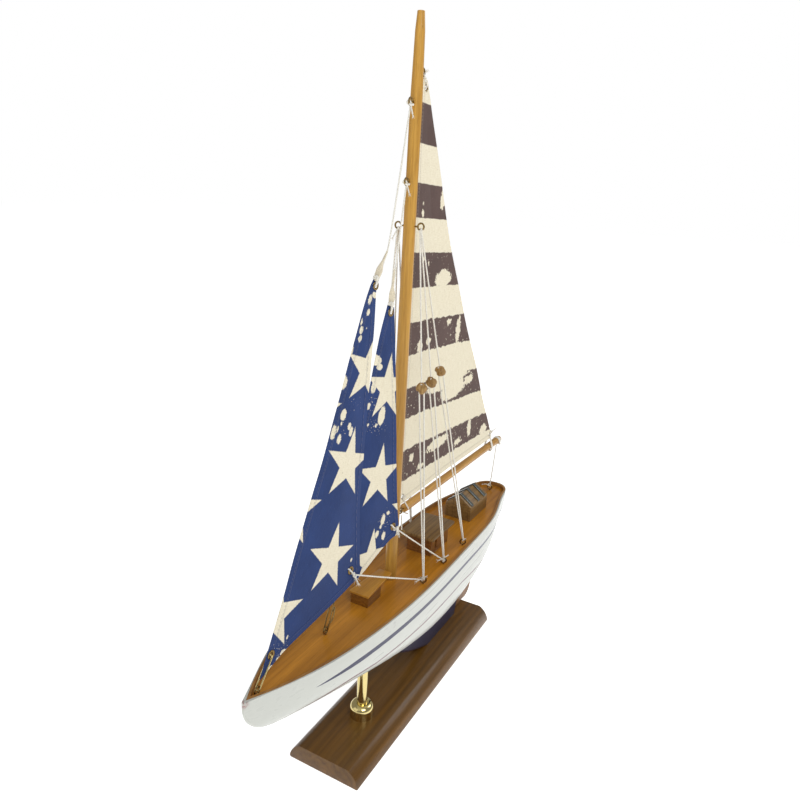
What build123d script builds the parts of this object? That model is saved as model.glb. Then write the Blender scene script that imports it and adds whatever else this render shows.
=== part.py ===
from build123d import *
import os
from math import asin, cos, radians, sin, sqrt, tan

# Wooden display sloop on a stand.  Millimetres, +X towards the bow, +Y to port, +Z up.
# The origin is under the middle of the whole boat, on the face the stand rests on.

os.makedirs("parts", exist_ok=True)

# ---------------------------------------------------------------- driving dimensions
HULL_LENGTH = 430.0
SHEER_MID_Z = 130.8          # height of the hull's top edge amidships
SHEER_RISE = 0.013           # rise of the top edge per mm towards the bow
STERN_START_X = -193.5       # from here aft the hull closes as a rounded counter
STERN_HALF_BREADTH = 19.8
STERN_DEPTH = 33.0
STERN_STEPS = (0.0, 0.42, 0.70, 0.90, 0.99)   # parts of the counter's length

# x, half breadth at the top edge, depth of the bottom under the top edge
HULL_STATIONS = [
    (214.8, 1.0, 9.0),
    (209.0, 3.4, 22.0),
    (201.0, 6.6, 28.0),
    (172.0, 18.4, 34.5),
    (107.0, 33.0, 46.0),
    (21.0, 38.7, 66.0),
    (-64.0, 37.0, 72.0),
    (-137.0, 32.0, 53.5),
]
SECTION_POWER = 0.476        # fullness of the hull's sections
SECTION_ANGLES = (90, 60, 30, 10)
SECTION_COUNT = 24

DECK_SINK = 3.4              # deck surface below the hull's top edge
DECK_THICK = 1.6
HULL_EDGE = 1.2              # painted edge left outside the toe rail
RAIL_WIDTH = 1.9
RAIL_PROUD = 0.4
PLAN_ARCS = 36               # arcs along each side of the deck and rail
GLUE = 0.03                  # glue line round a seated wooden piece

BASE_LENGTH = 262.0
BASE_WIDTH = 66.0
BASE_TOP_WIDTH = 45.0
BASE_HEIGHT = 15.0
BASE_X = -6.0
SCREW_RADIUS = 1.5
SCREW_HEAD_RADIUS = 3.2

POST_X = 68.0
POST_RADIUS = 4.6
POST_TOP_Z = 84.0            # inside the hull's bottom
ROD_RADIUS = 1.5
COLLAR_RADIUS = 10.2
COLLAR_HEIGHT = 8.0
COLLAR_DOME = 4.6

KEEL_THICK = 10.0
KEEL_FOOT = (-40.0, -109.0)  # x of the two ends of the keel's foot
KEEL_TOP_Z = 86.0

RUDDER_AXIS_X = -112.9       # where the rudder's axis meets the top of the base
RUDDER_RAKE = 16.0           # degrees the rudder's axis leans aft
RUDDER_THICK = 4.0
STOCK_RADIUS = 1.2
TUBE_RADIUS = 2.0
RUNNING_FIT = 0.05

MAST_X = 27.9                # at the deck
MAST_RAKE = 0.92             # degrees aft
MAST_HEIGHT = 437.0          # above the deck
MAST_RADIUS = 5.0
TENON_RADIUS = 3.5
TENON_LENGTH = 26.0

BOOM_RADIUS = 3.7
BOOM_FRONT = (10.0, 186.2)   # x, z of the boom's centre line at its front end
BOOM_END = (-212.0, 182.3)
WHIPPING_X = -205.0
WHIPPING_LENGTH = 4.4

SAIL_THICK = 0.8
GROMMET_HOLE = 1.5
GROMMET_BARREL = 2.1
GROMMET_FLANGE = 3.3
GROMMET_THICK = 0.4
CORD_RADIUS = 0.6
KNOT_RADIUS = 1.5
CORD_GAP = 1.9               # a sheet's end stands this far off its sail

EYE_RADIUS = 2.5             # centre line of an eye screw's ring
EYE_WIRE = 0.65
EYE_SHANK = 6.0              # from the ring to the screw's point
EYE_NECK = 1.2               # length of the shank left showing
HOOK_WIRE = 0.5
LINK_HALF = 1.7              # half the width of a wire link

CHAINPLATE_X = (20.5, -19.0, -61.0)
CHAINPLATE_Y = 28.0
EYE_TURN = 25.0              # degrees the deck eyes face off the bow
SHROUD_EYE_Y = 9.6
SHROUD_EYE_Z = 422.0
HALYARD_EYE_Z = (506.5, 453.3)
HEAD_EYE_Z = 527.5
GOOSENECK_Z = 186.0
TACK_EYE = (19.0, 3.9, 168.0)
BOW_EYE_X = 201.0
JIB_EYE_X = 124.0
STERN_EYE_X = -197.0
DEADEYE_FALL = (0.42, 0.415, 0.394)     # parts of the way from the mast to the deck
DEADEYE_TOP = (0.0, 2.0)     # holes of a deadeye, from its middle
DEADEYE_LOW = (2.1, -2.2)
DEADEYE_LOBE = 2.5
DEADEYE_THICK = 3.4

OUTER_TACK = (198.0, 0.0, 139.5)
OUTER_HEAD = (70.2, 0.0, 389.0)
OUTER_SWING = 5.0            # degrees the sail stands to port of the centre line
INNER_TACK = (121.0, 0.0, 152.0)
INNER_HEAD = (49.0, 0.0, 365.5)
INNER_SWING = 8.0


def sheer(x):
    """Height of the hull's top edge."""
    return SHEER_MID_Z + SHEER_RISE * x


def deck_z(x):
    """Height of the deck's upper surface."""
    return sheer(x) - DECK_SINK


def mast_x(z):
    """Mast centre line at a height."""
    return MAST_X - (z - deck_z(MAST_X)) * tan(radians(MAST_RAKE))


def save(piece, name):
    piece.part.label = name
    export_step(piece.part, f"parts/{name}.step")


def counter(inset=0.0):
    """The stern's rounded plan and depth as quarter ellipses, moved inwards by inset."""
    run = HULL_LENGTH / 2 + STERN_START_X - inset
    rows = []
    for step in STERN_STEPS:
        shrink = sqrt(1 - step * step)
        half_breadth = (STERN_HALF_BREADTH - inset) * shrink
        rows.append((STERN_START_X - run * step, half_breadth, STERN_DEPTH * shrink))
    return rows


def plan_curve(inset, bow_x, gap=0.0):
    """Port side of the hull's top edge in plan, bow to stern, moved inwards: a chain of arcs."""
    points = [(x, b - inset) for x, b, depth in HULL_STATIONS if x < bow_x - 3]
    points += [(x, b) for x, b, depth in counter(inset)]
    curve = Spline(
        (bow_x, gap),
        *points,
        (-HULL_LENGTH / 2 + inset, gap),
        tangents=[(-1, 0.52), (0, -1)],
        mode=Mode.PRIVATE,
    )
    for step in range(PLAN_ARCS):
        ThreePointArc(*[curve @ ((step + part) / PLAN_ARCS) for part in (0, 0.5, 1)])
    return curve


def plan_face(inset, bow_x, lift=0.0):
    """Closed plan outline of the hull's top edge, moved inwards, on a plane along the sheer."""
    with BuildSketch(sheer_plane.offset(lift)) as plan:
        with BuildLine():
            plan_curve(inset, bow_x)
            mirror(about=Plane.XZ)
        make_face()
    return plan.sketch


def straight(start, end, radius=CORD_RADIUS):
    """A straight round run between two points, added to the piece being built."""
    run = Vector(*end) - Vector(*start)
    with Locations(Plane(origin=start, z_dir=run)):
        Cylinder(radius, run.length, align=(Align.CENTER, Align.CENTER, Align.MIN))


def eye_screw(where):
    """An eye screw: the ring is centred on the plane's origin and the shank runs down its -Z."""
    with Locations(where):
        Torus(EYE_RADIUS, EYE_WIRE, rotation=(90, 0, 0))
    with Locations(where.offset(-EYE_RADIUS)):
        Cylinder(EYE_WIRE, EYE_SHANK, align=(Align.CENTER, Align.CENTER, Align.MAX))


def wire_link(low, high, side, wire=HOOK_WIRE):
    """A closed loop of wire or line through two holes, its legs apart along side."""
    run = high - low
    reach = run.length
    flat = Plane(
        origin=low, x_dir=side - run * (side.dot(run) / run.dot(run)), z_dir=side.cross(run)
    )
    with BuildPart() as link:
        with BuildLine(flat) as path:
            leg = Line((-LINK_HALF, reach / 2), (-LINK_HALF, reach - LINK_HALF))
            top = ThreePointArc(leg @ 1, (0, reach), (LINK_HALF, reach - LINK_HALF))
            back = Line(top @ 1, (LINK_HALF, LINK_HALF))
            foot = ThreePointArc(back @ 1, (0, 0), (-LINK_HALF, LINK_HALF))
            Line(foot @ 1, leg @ 0)
        with BuildSketch(Plane(origin=leg @ 0, z_dir=run)):
            Circle(wire)
        sweep(path=path.wires()[0])
    return link


def lashing(where, rise):
    """A turn of line round the boom at a plane's origin, drawn up to a sail's grommet."""
    turn = BOOM_RADIUS + CORD_RADIUS
    lean = asin((turn - LINK_HALF) / (rise - LINK_HALF))
    out, up = cos(lean), sin(lean)
    shoulder = rise - LINK_HALF + LINK_HALF * up
    with BuildPart() as line:
        with BuildLine(where) as path:
            left = Line((-turn * out, turn * up), (-LINK_HALF * out, shoulder))
            cap = ThreePointArc(left @ 1, (0, rise), (LINK_HALF * out, shoulder))
            right = Line(cap @ 1, (turn * out, turn * up))
            ThreePointArc(right @ 1, (0, -turn), left @ 0)
        with BuildSketch(Plane(origin=left @ 0, z_dir=left % 0)):
            Circle(CORD_RADIUS)
        sweep(path=path.wires()[0])
    return line


def upright_eye(x, y, turn):
    """Plane for an eye screwed into the deck, its ring facing turn degrees off the bow."""
    z = deck_z(x) + EYE_NECK + EYE_RADIUS
    return Plane(
        origin=(x, y, z), x_dir=(-sin(radians(turn)), cos(radians(turn)), 0), z_dir=(0, 0, 1)
    )


def sail_plane(tack, head, swing):
    """Plane of a headsail: origin at the tack, local Y up the luff, local X across the sail."""
    luff = (Vector(*head) - Vector(*tack)).normalized()
    aft = luff.cross(Vector(0, -1, 0)).normalized()
    if aft.X > 0:
        aft = aft * -1
    across = aft * cos(radians(swing)) + Vector(0, 1, 0) * sin(radians(swing))
    return Plane(origin=tack, x_dir=across, z_dir=across.cross(luff))


def grommets(plane, places):
    """Rolled brass grommets through a sail, added to the piece being built."""
    with Locations(plane):
        with Locations(*[(x, y, 0) for x, y in places]):
            Cylinder(GROMMET_BARREL, SAIL_THICK + 2 * GROMMET_THICK)
        lift = (SAIL_THICK + GROMMET_THICK) / 2
        with Locations(*[(x, y, side * lift) for x, y in places for side in (-1, 1)]):
            Cylinder(GROMMET_FLANGE, GROMMET_THICK)
        with Locations(*[(x, y, 0) for x, y in places]):
            Cylinder(GROMMET_HOLE, SAIL_THICK + 4 * GROMMET_THICK, mode=Mode.SUBTRACT)


def across(x):
    """Plane square to the boat's length at x, local X to port and local Y up."""
    return Plane(origin=(x, 0, 0), x_dir=(0, 1, 0), z_dir=(1, 0, 0))


sheer_plane = Plane(
    origin=(0, 0, SHEER_MID_Z), x_dir=(1, 0, SHEER_RISE), z_dir=(-SHEER_RISE, 0, 1)
)
centre_plane = Plane(origin=(0, 0, 0), x_dir=(1, 0, 0), z_dir=(0, -1, 0))
post_plane = Plane(origin=(POST_X, 0, 0), x_dir=(1, 0, 0), z_dir=(0, -1, 0))
post_axis = Axis(origin=(POST_X, 0, 0), direction=(0, 0, 1))

# ---------------------------------------------------------------- stand
KEEL_SCREW_X = (KEEL_FOOT[0] - 18, KEEL_FOOT[1] + 18)

with BuildPart() as base_board:
    with BuildSketch(across(BASE_X - BASE_LENGTH / 2)):
        with BuildLine():
            foot = Line((0, 0), (BASE_WIDTH / 2 - 1.5, 0))
            toe = ThreePointArc(foot @ 1, (BASE_WIDTH / 2 - 0.4, 0.6), (BASE_WIDTH / 2, 1.8))
            side = ThreePointArc(
                toe @ 1, (BASE_WIDTH / 2 - 3.2, BASE_HEIGHT * 0.62), (BASE_TOP_WIDTH / 2, BASE_HEIGHT)
            )
            Line(side @ 1, (0, BASE_HEIGHT))
            mirror(about=Plane.YZ)
        make_face()
    extrude(amount=BASE_LENGTH)
    with Locations(Plane(origin=(POST_X, 0, 0), z_dir=(0, 0, -1))):
        CounterBoreHole(ROD_RADIUS, counter_bore_radius=4.6, counter_bore_depth=5.0)
    with Locations(*[Plane(origin=(x, 0, 0), z_dir=(0, 0, -1)) for x in KEEL_SCREW_X]):
        CounterSinkHole(SCREW_RADIUS, counter_sink_radius=SCREW_HEAD_RADIUS)
save(base_board, "base_board")

with BuildPart() as post_collar:
    with BuildSketch(post_plane):
        with BuildLine():
            low = Line((POST_RADIUS, BASE_HEIGHT), (COLLAR_RADIUS, BASE_HEIGHT))
            wall = Line(low @ 1, (COLLAR_RADIUS, BASE_HEIGHT + COLLAR_HEIGHT))
            dome = ThreePointArc(
                wall @ 1,
                (COLLAR_RADIUS - 1.7, BASE_HEIGHT + COLLAR_HEIGHT + COLLAR_DOME - 1.3),
                (POST_RADIUS + 0.9, BASE_HEIGHT + COLLAR_HEIGHT + COLLAR_DOME),
            )
            top = Line(dome @ 1, (POST_RADIUS, BASE_HEIGHT + COLLAR_HEIGHT + COLLAR_DOME))
            Line(top @ 1, low @ 0)
        make_face()
    revolve(axis=post_axis)
save(post_collar, "post_collar")

with BuildPart() as post:
    with BuildSketch(post_plane):
        with BuildLine():
            Polyline(
                (ROD_RADIUS, BASE_HEIGHT),
                (POST_RADIUS, BASE_HEIGHT),
                (POST_RADIUS, POST_TOP_Z),
                (ROD_RADIUS, POST_TOP_Z),
                close=True,
            )
        make_face()
    revolve(axis=post_axis)
save(post, "post")

# ---------------------------------------------------------------- hull
hull_lines = Spline(*(HULL_STATIONS + counter()))

with BuildPart() as hull_block:
    for step in range(SECTION_COUNT):
        station = hull_lines.position_at(
            hull_lines.length * step / (SECTION_COUNT - 1), position_mode=PositionMode.LENGTH
        )
        edge_z = sheer(station.X)
        with BuildSketch(across(station.X)):
            with BuildLine():
                port_side = [
                    (
                        station.Y * sin(radians(a)) ** SECTION_POWER,
                        edge_z - station.Z * cos(radians(a)),
                    )
                    for a in SECTION_ANGLES
                ]
                starboard_side = [(-y, z) for y, z in reversed(port_side)]
                skin = Spline(
                    *port_side,
                    (0, edge_z - station.Z),
                    *starboard_side,
                    tangents=[(0, -1), (0, 1)],
                )
                Line(skin @ 1, skin @ 0)
            make_face()
    loft()

recess_plan = plan_face(HULL_EDGE, 211.6, lift=1.0)
deck_plan = plan_face(HULL_EDGE + GLUE, 211.5, lift=-DECK_SINK - DECK_THICK)

mast_plane = Plane(
    origin=(MAST_X, 0, deck_z(MAST_X)),
    x_dir=(cos(radians(MAST_RAKE)), 0, sin(radians(MAST_RAKE))),
    z_dir=(-sin(radians(MAST_RAKE)), 0, cos(radians(MAST_RAKE))),
)
rudder_plane = Plane(
    origin=(RUDDER_AXIS_X, 0, BASE_HEIGHT),
    x_dir=(cos(radians(RUDDER_RAKE)), 0, sin(radians(RUDDER_RAKE))),
    z_dir=(-sin(radians(RUDDER_RAKE)), 0, cos(radians(RUDDER_RAKE))),
)
TUBE_FROM, TUBE_TO = 54.0, 82.0      # along the rudder's axis
ROD_TOP_Z = POST_TOP_Z + 14

with BuildPart() as hull_shell:
    add(hull_block.part)
    extrude(recess_plan, amount=-(1.0 + DECK_SINK + DECK_THICK), mode=Mode.SUBTRACT)
    with Locations(mast_plane):
        Cylinder(TENON_RADIUS, TENON_LENGTH, align=(Align.CENTER, Align.CENTER, Align.MAX),
                 mode=Mode.SUBTRACT)
    with Locations((POST_X, 0, 0)):
        Cylinder(POST_RADIUS, POST_TOP_Z, align=(Align.CENTER, Align.CENTER, Align.MIN),
                 mode=Mode.SUBTRACT)
        Cylinder(ROD_RADIUS, ROD_TOP_Z, align=(Align.CENTER, Align.CENTER, Align.MIN),
                 mode=Mode.SUBTRACT)
    with Locations(rudder_plane.offset(TUBE_FROM - 10)):
        Cylinder(TUBE_RADIUS, TUBE_TO - TUBE_FROM + 10,
                 align=(Align.CENTER, Align.CENTER, Align.MIN), mode=Mode.SUBTRACT)
save(hull_shell, "hull_shell")

with BuildPart() as deck:
    extrude(deck_plan, amount=DECK_THICK)
    with Locations(mast_plane):
        Cylinder(TENON_RADIUS, 12, mode=Mode.SUBTRACT)
save(deck, "deck")

with BuildPart() as toe_rail:
    with BuildSketch(sheer_plane.offset(-DECK_SINK)):
        with BuildLine():
            rail_out = plan_curve(HULL_EDGE + GLUE, 211.5, gap=GLUE)
            rail_in = plan_curve(HULL_EDGE + RAIL_WIDTH, 207.6, gap=GLUE)
            Line(rail_out @ 0, rail_in @ 0)
            Line(rail_out @ 1, rail_in @ 1)
        make_face()
    extrude(amount=DECK_SINK + RAIL_PROUD)
    mirror(about=Plane.XZ)
save(toe_rail, "toe_rail")

with BuildPart() as post_rod:
    with BuildSketch(post_plane):
        with BuildLine():
            Polyline(
                (0, 1.2), (4.2, 1.2), (4.2, 5.0), (ROD_RADIUS, 5.0), (ROD_RADIUS, ROD_TOP_Z), (0, ROD_TOP_Z),
                close=True,
            )
        make_face()
    revolve(axis=post_axis)
save(post_rod, "post_rod")

with BuildPart() as keel_fin:
    with BuildSketch(centre_plane):
        with BuildLine():
            front = Spline((54, KEEL_TOP_Z), (16, 44.5), (-22, 23), (KEEL_FOOT[0], BASE_HEIGHT))
            heel = Line(front @ 1, (KEEL_FOOT[1], BASE_HEIGHT))
            top_x = KEEL_FOOT[1] - (KEEL_TOP_Z - BASE_HEIGHT) * tan(radians(RUDDER_RAKE))
            back = Line(heel @ 1, (top_x, KEEL_TOP_Z))
            Line(back @ 1, front @ 0)
        make_face()
    extrude(amount=KEEL_THICK / 2, both=True)
    fillet(keel_fin.edges().filter_by(GeomType.BSPLINE), radius=KEEL_THICK * 0.4)
    add(hull_block.part, mode=Mode.SUBTRACT)
    with Locations(*[(x, 0, BASE_HEIGHT) for x in KEEL_SCREW_X]):
        Cylinder(SCREW_RADIUS, 12, align=(Align.CENTER, Align.CENTER, Align.MIN), mode=Mode.SUBTRACT)
save(keel_fin, "keel_fin")

with BuildPart() as keel_screws:
    for x in KEEL_SCREW_X:
        with BuildSketch(Plane(origin=(x, 0, 0), x_dir=(1, 0, 0), z_dir=(0, -1, 0))):
            with BuildLine():
                Polyline(
                    (0, 0.3), (SCREW_HEAD_RADIUS - 0.3, 0.3),
                    (SCREW_RADIUS, SCREW_HEAD_RADIUS - SCREW_RADIUS),
                    (SCREW_RADIUS, BASE_HEIGHT + 10), (0, BASE_HEIGHT + 12), close=True,
                )
            make_face()
        revolve(axis=Axis(origin=(x, 0, 0), direction=(0, 0, 1)))
save(keel_screws, "keel_screws")

# ---------------------------------------------------------------- rudder
rudder_side = Plane(origin=rudder_plane.origin, x_dir=rudder_plane.x_dir, z_dir=(0, -1, 0))
BLADE_LOW, BLADE_TOP = 2.6, 53.0     # along the axis

with BuildPart() as rudder_stock:
    with Locations(rudder_plane.offset(BLADE_LOW)):
        Cylinder(STOCK_RADIUS, TUBE_TO - 4 - BLADE_LOW, align=(Align.CENTER, Align.CENTER, Align.MIN))
save(rudder_stock, "rudder_stock")

with BuildPart() as rudder_blade:
    with BuildSketch(rudder_side):
        with BuildLine():
            low = Line((0, BLADE_LOW), (-23.4, 9.3))
            toe = ThreePointArc(low @ 1, (-34.4, 14.5), (-37.6, 23.3))
            trail = Line(toe @ 1, (-35.2, 76.0))
            top = Line(trail @ 1, (0, BLADE_TOP))
            Line(top @ 1, low @ 0)
        make_face()
    extrude(amount=RUDDER_THICK / 2, both=True)
    with Locations(rudder_plane.offset(BLADE_LOW)):
        Cylinder(RUDDER_THICK / 2, BLADE_TOP - BLADE_LOW, align=(Align.CENTER, Align.CENTER, Align.MIN))
    with Locations(rudder_plane):
        Cylinder(STOCK_RADIUS, 80, align=(Align.CENTER, Align.CENTER, Align.MIN), mode=Mode.SUBTRACT)
save(rudder_blade, "rudder_blade")

with BuildPart() as rudder_tube:
    with Locations(rudder_plane.offset(TUBE_FROM + 0.5)):
        Cylinder(TUBE_RADIUS, TUBE_TO - TUBE_FROM - 0.5, align=(Align.CENTER, Align.CENTER, Align.MIN))
        Cylinder(STOCK_RADIUS + RUNNING_FIT, 60, align=(Align.CENTER, Align.CENTER, Align.MIN),
                 mode=Mode.SUBTRACT)
save(rudder_tube, "rudder_tube")

# ---------------------------------------------------------------- deck houses
deck_plane = sheer_plane.offset(-DECK_SINK)

BOX_RISE = 9.2
HATCH_THICK = 2.0
CABIN_FROM, CABIN_TO, CABIN_HALF = -24.0, -60.0, 12.5
CABIN_RISE = 18.1
ROOF_THICK = 2.8
SLOT_DEEP = 1.5
SKYLIGHT_FROM, SKYLIGHT_TO, SKYLIGHT_HALF = -109.5, -153.0, 14.0
EAVE_RISE, RIDGE_RISE = 15.3, 25.3
BAR_X = (-115.0, -131.0, -146.0)
BAR_WIDTH, BAR_THICK = 4.5, 0.9

with BuildPart() as foredeck_box:
    with BuildSketch(deck_plane):
        with Locations((67.75, 0)):
            Rectangle(20.5, 16)
    extrude(amount=BOX_RISE)
save(foredeck_box, "foredeck_box")

with BuildPart() as foredeck_hatch:
    with BuildSketch(deck_plane.offset(BOX_RISE)) as hatch_plan:
        with BuildLine():
            Polyline((79, -9), (79, 9), (36.5, 6), (36.5, -6), close=True)
        make_face()
        fillet(hatch_plan.vertices(), radius=0.8)
    extrude(amount=HATCH_THICK)
save(foredeck_hatch, "foredeck_hatch")

with BuildPart() as cabin_block:
    with BuildSketch(deck_plane):
        with Locations(((CABIN_FROM + CABIN_TO) / 2, 0)):
            Rectangle(CABIN_FROM - CABIN_TO, 2 * CABIN_HALF)
    extrude(amount=CABIN_RISE)
    with Locations(deck_plane.offset(CABIN_RISE / 2 + 0.6)):
        with Locations((-34, CABIN_HALF, 0), (-34, -CABIN_HALF, 0)):
            Box(4.0, 2 * SLOT_DEEP, 10.5, mode=Mode.SUBTRACT)
save(cabin_block, "cabin_block")

with BuildPart() as cabin_roof:
    with BuildSketch(deck_plane.offset(CABIN_RISE)):
        with Locations((-41, 0)):
            RectangleRounded(46, 34, 1.2)
    extrude(amount=ROOF_THICK)
save(cabin_roof, "cabin_roof")

skylight_end = Plane(
    origin=deck_plane.from_local_coords((SKYLIGHT_TO, 0, 0)), x_dir=(0, 1, 0), z_dir=deck_plane.x_dir
)
slope_drop = (RIDGE_RISE - EAVE_RISE) / SKYLIGHT_HALF
bar_lift = BAR_THICK * sqrt(1 + slope_drop * slope_drop)

with BuildPart() as skylight_body:
    with BuildSketch(skylight_end):
        with BuildLine():
            Polyline(
                (-SKYLIGHT_HALF, 0), (SKYLIGHT_HALF, 0), (SKYLIGHT_HALF, EAVE_RISE),
                (0, RIDGE_RISE), (-SKYLIGHT_HALF, EAVE_RISE), close=True,
            )
        make_face()
    extrude(amount=SKYLIGHT_FROM - SKYLIGHT_TO)
save(skylight_body, "skylight_body")

with BuildPart() as skylight_bars:
    for x in BAR_X:
        with BuildSketch(skylight_end.offset(x - BAR_WIDTH / 2 - SKYLIGHT_TO)):
            with BuildLine():
                Polyline(
                    (-SKYLIGHT_HALF, EAVE_RISE), (0, RIDGE_RISE), (SKYLIGHT_HALF, EAVE_RISE),
                    (SKYLIGHT_HALF, EAVE_RISE + bar_lift), (0, RIDGE_RISE + bar_lift),
                    (-SKYLIGHT_HALF, EAVE_RISE + bar_lift), close=True,
                )
            make_face()
        extrude(amount=BAR_WIDTH)
save(skylight_bars, "skylight_bars")

# ---------------------------------------------------------------- mast and its eyes
mast_side = Plane(origin=mast_plane.origin, x_dir=mast_plane.x_dir, z_dir=(0, -1, 0))

with BuildPart() as mast:
    with BuildSketch(mast_side):
        with BuildLine():
            Polyline(
                (0, -TENON_LENGTH), (TENON_RADIUS, -TENON_LENGTH), (TENON_RADIUS, GLUE),
                (MAST_RADIUS, GLUE), (MAST_RADIUS, 170), (4.4, 382), (3.5, 425),
                (2.6, MAST_HEIGHT), (0, MAST_HEIGHT), close=True,
            )
        make_face()
    revolve(axis=Axis(origin=mast_plane.origin, direction=mast_plane.z_dir))
save(mast, "mast")

with BuildPart() as mast_halyard_eyes:
    for z in HALYARD_EYE_Z:
        eye_screw(Plane(origin=(mast_x(z) + 4.5 + EYE_NECK + EYE_RADIUS, 0, z),
                        x_dir=(0, 0, 1), z_dir=(1, 0, 0)))
save(mast_halyard_eyes, "mast_halyard_eyes")

with BuildPart() as mast_shroud_eyes:
    for side in (-1, 1):
        eye_screw(Plane(origin=(mast_x(SHROUD_EYE_Z), side * SHROUD_EYE_Y, SHROUD_EYE_Z),
                        x_dir=(0, 0, 1), z_dir=(0, side, 0)))
save(mast_shroud_eyes, "mast_shroud_eyes")

head_eye_plane = Plane(
    origin=(mast_x(HEAD_EYE_Z) - 4.0 - EYE_NECK - EYE_RADIUS, 0, HEAD_EYE_Z),
    x_dir=(0, 0, 1), z_dir=(-1, 0, 0),
)

with BuildPart() as mast_head_eye:
    eye_screw(head_eye_plane)
save(mast_head_eye, "mast_head_eye")

GOOSENECK_X = mast_x(GOOSENECK_Z) - MAST_RADIUS - EYE_NECK - EYE_RADIUS

with BuildPart() as gooseneck_eye:
    eye_screw(Plane(origin=(GOOSENECK_X, 0, GOOSENECK_Z), x_dir=(0, 1, 0), z_dir=(-1, 0, 0)))
save(gooseneck_eye, "gooseneck_eye")

tack_eye_out = (Vector(*TACK_EYE) - Vector(mast_x(TACK_EYE[2]), 0, TACK_EYE[2])).normalized()

with BuildPart() as tack_line_eye:
    eye_screw(Plane(origin=TACK_EYE, x_dir=(0, 0, 1), z_dir=tack_eye_out))
save(tack_line_eye, "tack_line_eye")

# ---------------------------------------------------------------- deck eyes
chainplates = [
    upright_eye(x, side * CHAINPLATE_Y, side * EYE_TURN) for x in CHAINPLATE_X for side in (1, -1)
]
bow_eye_plane = upright_eye(BOW_EYE_X, 0, 90)
jib_eye_plane = upright_eye(JIB_EYE_X, 0, 90)
stern_eye_plane = upright_eye(STERN_EYE_X, 0, 0)

with BuildPart() as chainplate_eyes:
    for plane in chainplates:
        eye_screw(plane)
save(chainplate_eyes, "chainplate_eyes")

with BuildPart() as bow_eye:
    eye_screw(bow_eye_plane)
save(bow_eye, "bow_eye")

with BuildPart() as jib_tack_eye:
    eye_screw(jib_eye_plane)
save(jib_tack_eye, "jib_tack_eye")

with BuildPart() as stern_eye:
    eye_screw(stern_eye_plane)
save(stern_eye, "stern_eye")

# ---------------------------------------------------------------- shrouds
SHROUD_FAN = 1.0             # spacing of the three shrouds where they leave the mast
shroud_planes = []
for plane in chainplates:
    side = 1 if plane.origin.Y > 0 else -1
    place = CHAINPLATE_X.index(min(CHAINPLATE_X, key=lambda x: abs(x - plane.origin.X)))
    top = Vector(
        mast_x(SHROUD_EYE_Z) + (1 - place) * SHROUD_FAN,
        side * SHROUD_EYE_Y,
        SHROUD_EYE_Z - EYE_RADIUS,
    )
    foot = plane.origin + Vector(0, 0, EYE_RADIUS)
    rise = (top - foot).normalized()
    middle = top + (foot - top) * DEADEYE_FALL[place]
    face = Vector(1, 0, 0) - rise * rise.X
    shroud_planes.append((top, foot, Plane(origin=middle, x_dir=rise.cross(face), z_dir=face)))

with BuildPart() as upper_shrouds:
    for top, foot, plane in shroud_planes:
        straight(top, plane.from_local_coords((*DEADEYE_TOP, 0)))
    for side in (-1, 1):
        with Locations((mast_x(SHROUD_EYE_Z), side * SHROUD_EYE_Y, SHROUD_EYE_Z - EYE_RADIUS)):
            Sphere(KNOT_RADIUS)
save(upper_shrouds, "upper_shrouds")

with BuildPart() as deadeyes:
    for top, foot, plane in shroud_planes:
        with BuildSketch(plane):
            with Locations(DEADEYE_TOP, DEADEYE_LOW, (-DEADEYE_LOW[0], DEADEYE_LOW[1])):
                Circle(DEADEYE_LOBE)
            make_hull()
        extrude(amount=DEADEYE_THICK / 2, both=True)
        with Locations(plane):
            with Locations((*DEADEYE_TOP, 0), (*DEADEYE_LOW, 0), (-DEADEYE_LOW[0], DEADEYE_LOW[1], 0)):
                Cylinder(CORD_RADIUS + 0.3, 2 * DEADEYE_THICK, mode=Mode.SUBTRACT)
save(deadeyes, "deadeyes")

with BuildPart() as lanyards:
    for top, foot, plane in shroud_planes:
        for side in (-1, 1):
            start = plane.from_local_coords((side * DEADEYE_LOW[0], DEADEYE_LOW[1], 0))
            straight(start, foot)
        with Locations(foot):
            Sphere(KNOT_RADIUS)
save(lanyards, "lanyards")

# ---------------------------------------------------------------- headsails
outer_plane = sail_plane(OUTER_TACK, OUTER_HEAD, OUTER_SWING)
inner_plane = sail_plane(INNER_TACK, INNER_HEAD, INNER_SWING)
OUTER_GROMMETS = [(3.5, 275.0), (3.8, 16.4), (70.3, 74.7)]      # head, tack, clew
INNER_GROMMETS = [(3.6, 221.6), (4.0, 6.5), (63.0, 57.0)]

with BuildPart() as outer_jib:
    with BuildSketch(outer_plane):
        with BuildLine():
            head = Line((0, 280), (3, 280))
            leech = Spline(head @ 1, (18.2, 240), (46.6, 159.3), (56.8, 127.3), (85, 72))
            foot = Spline(leech @ 1, (75.4, 63), (57, 48), (18.6, 19.4), (0, 0))
            Line(foot @ 1, head @ 0)
        make_face()
        with Locations(*OUTER_GROMMETS):
            Circle(GROMMET_BARREL, mode=Mode.SUBTRACT)
    extrude(amount=SAIL_THICK / 2, both=True)
save(outer_jib, "outer_jib")

with BuildPart() as outer_jib_grommets:
    grommets(outer_plane, OUTER_GROMMETS)
save(outer_jib_grommets, "outer_jib_grommets")

outer_tack = outer_plane.from_local_coords((*OUTER_GROMMETS[1], 0))
save(wire_link(bow_eye_plane.origin, outer_tack, outer_plane.z_dir), "outer_tack_link")

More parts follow.
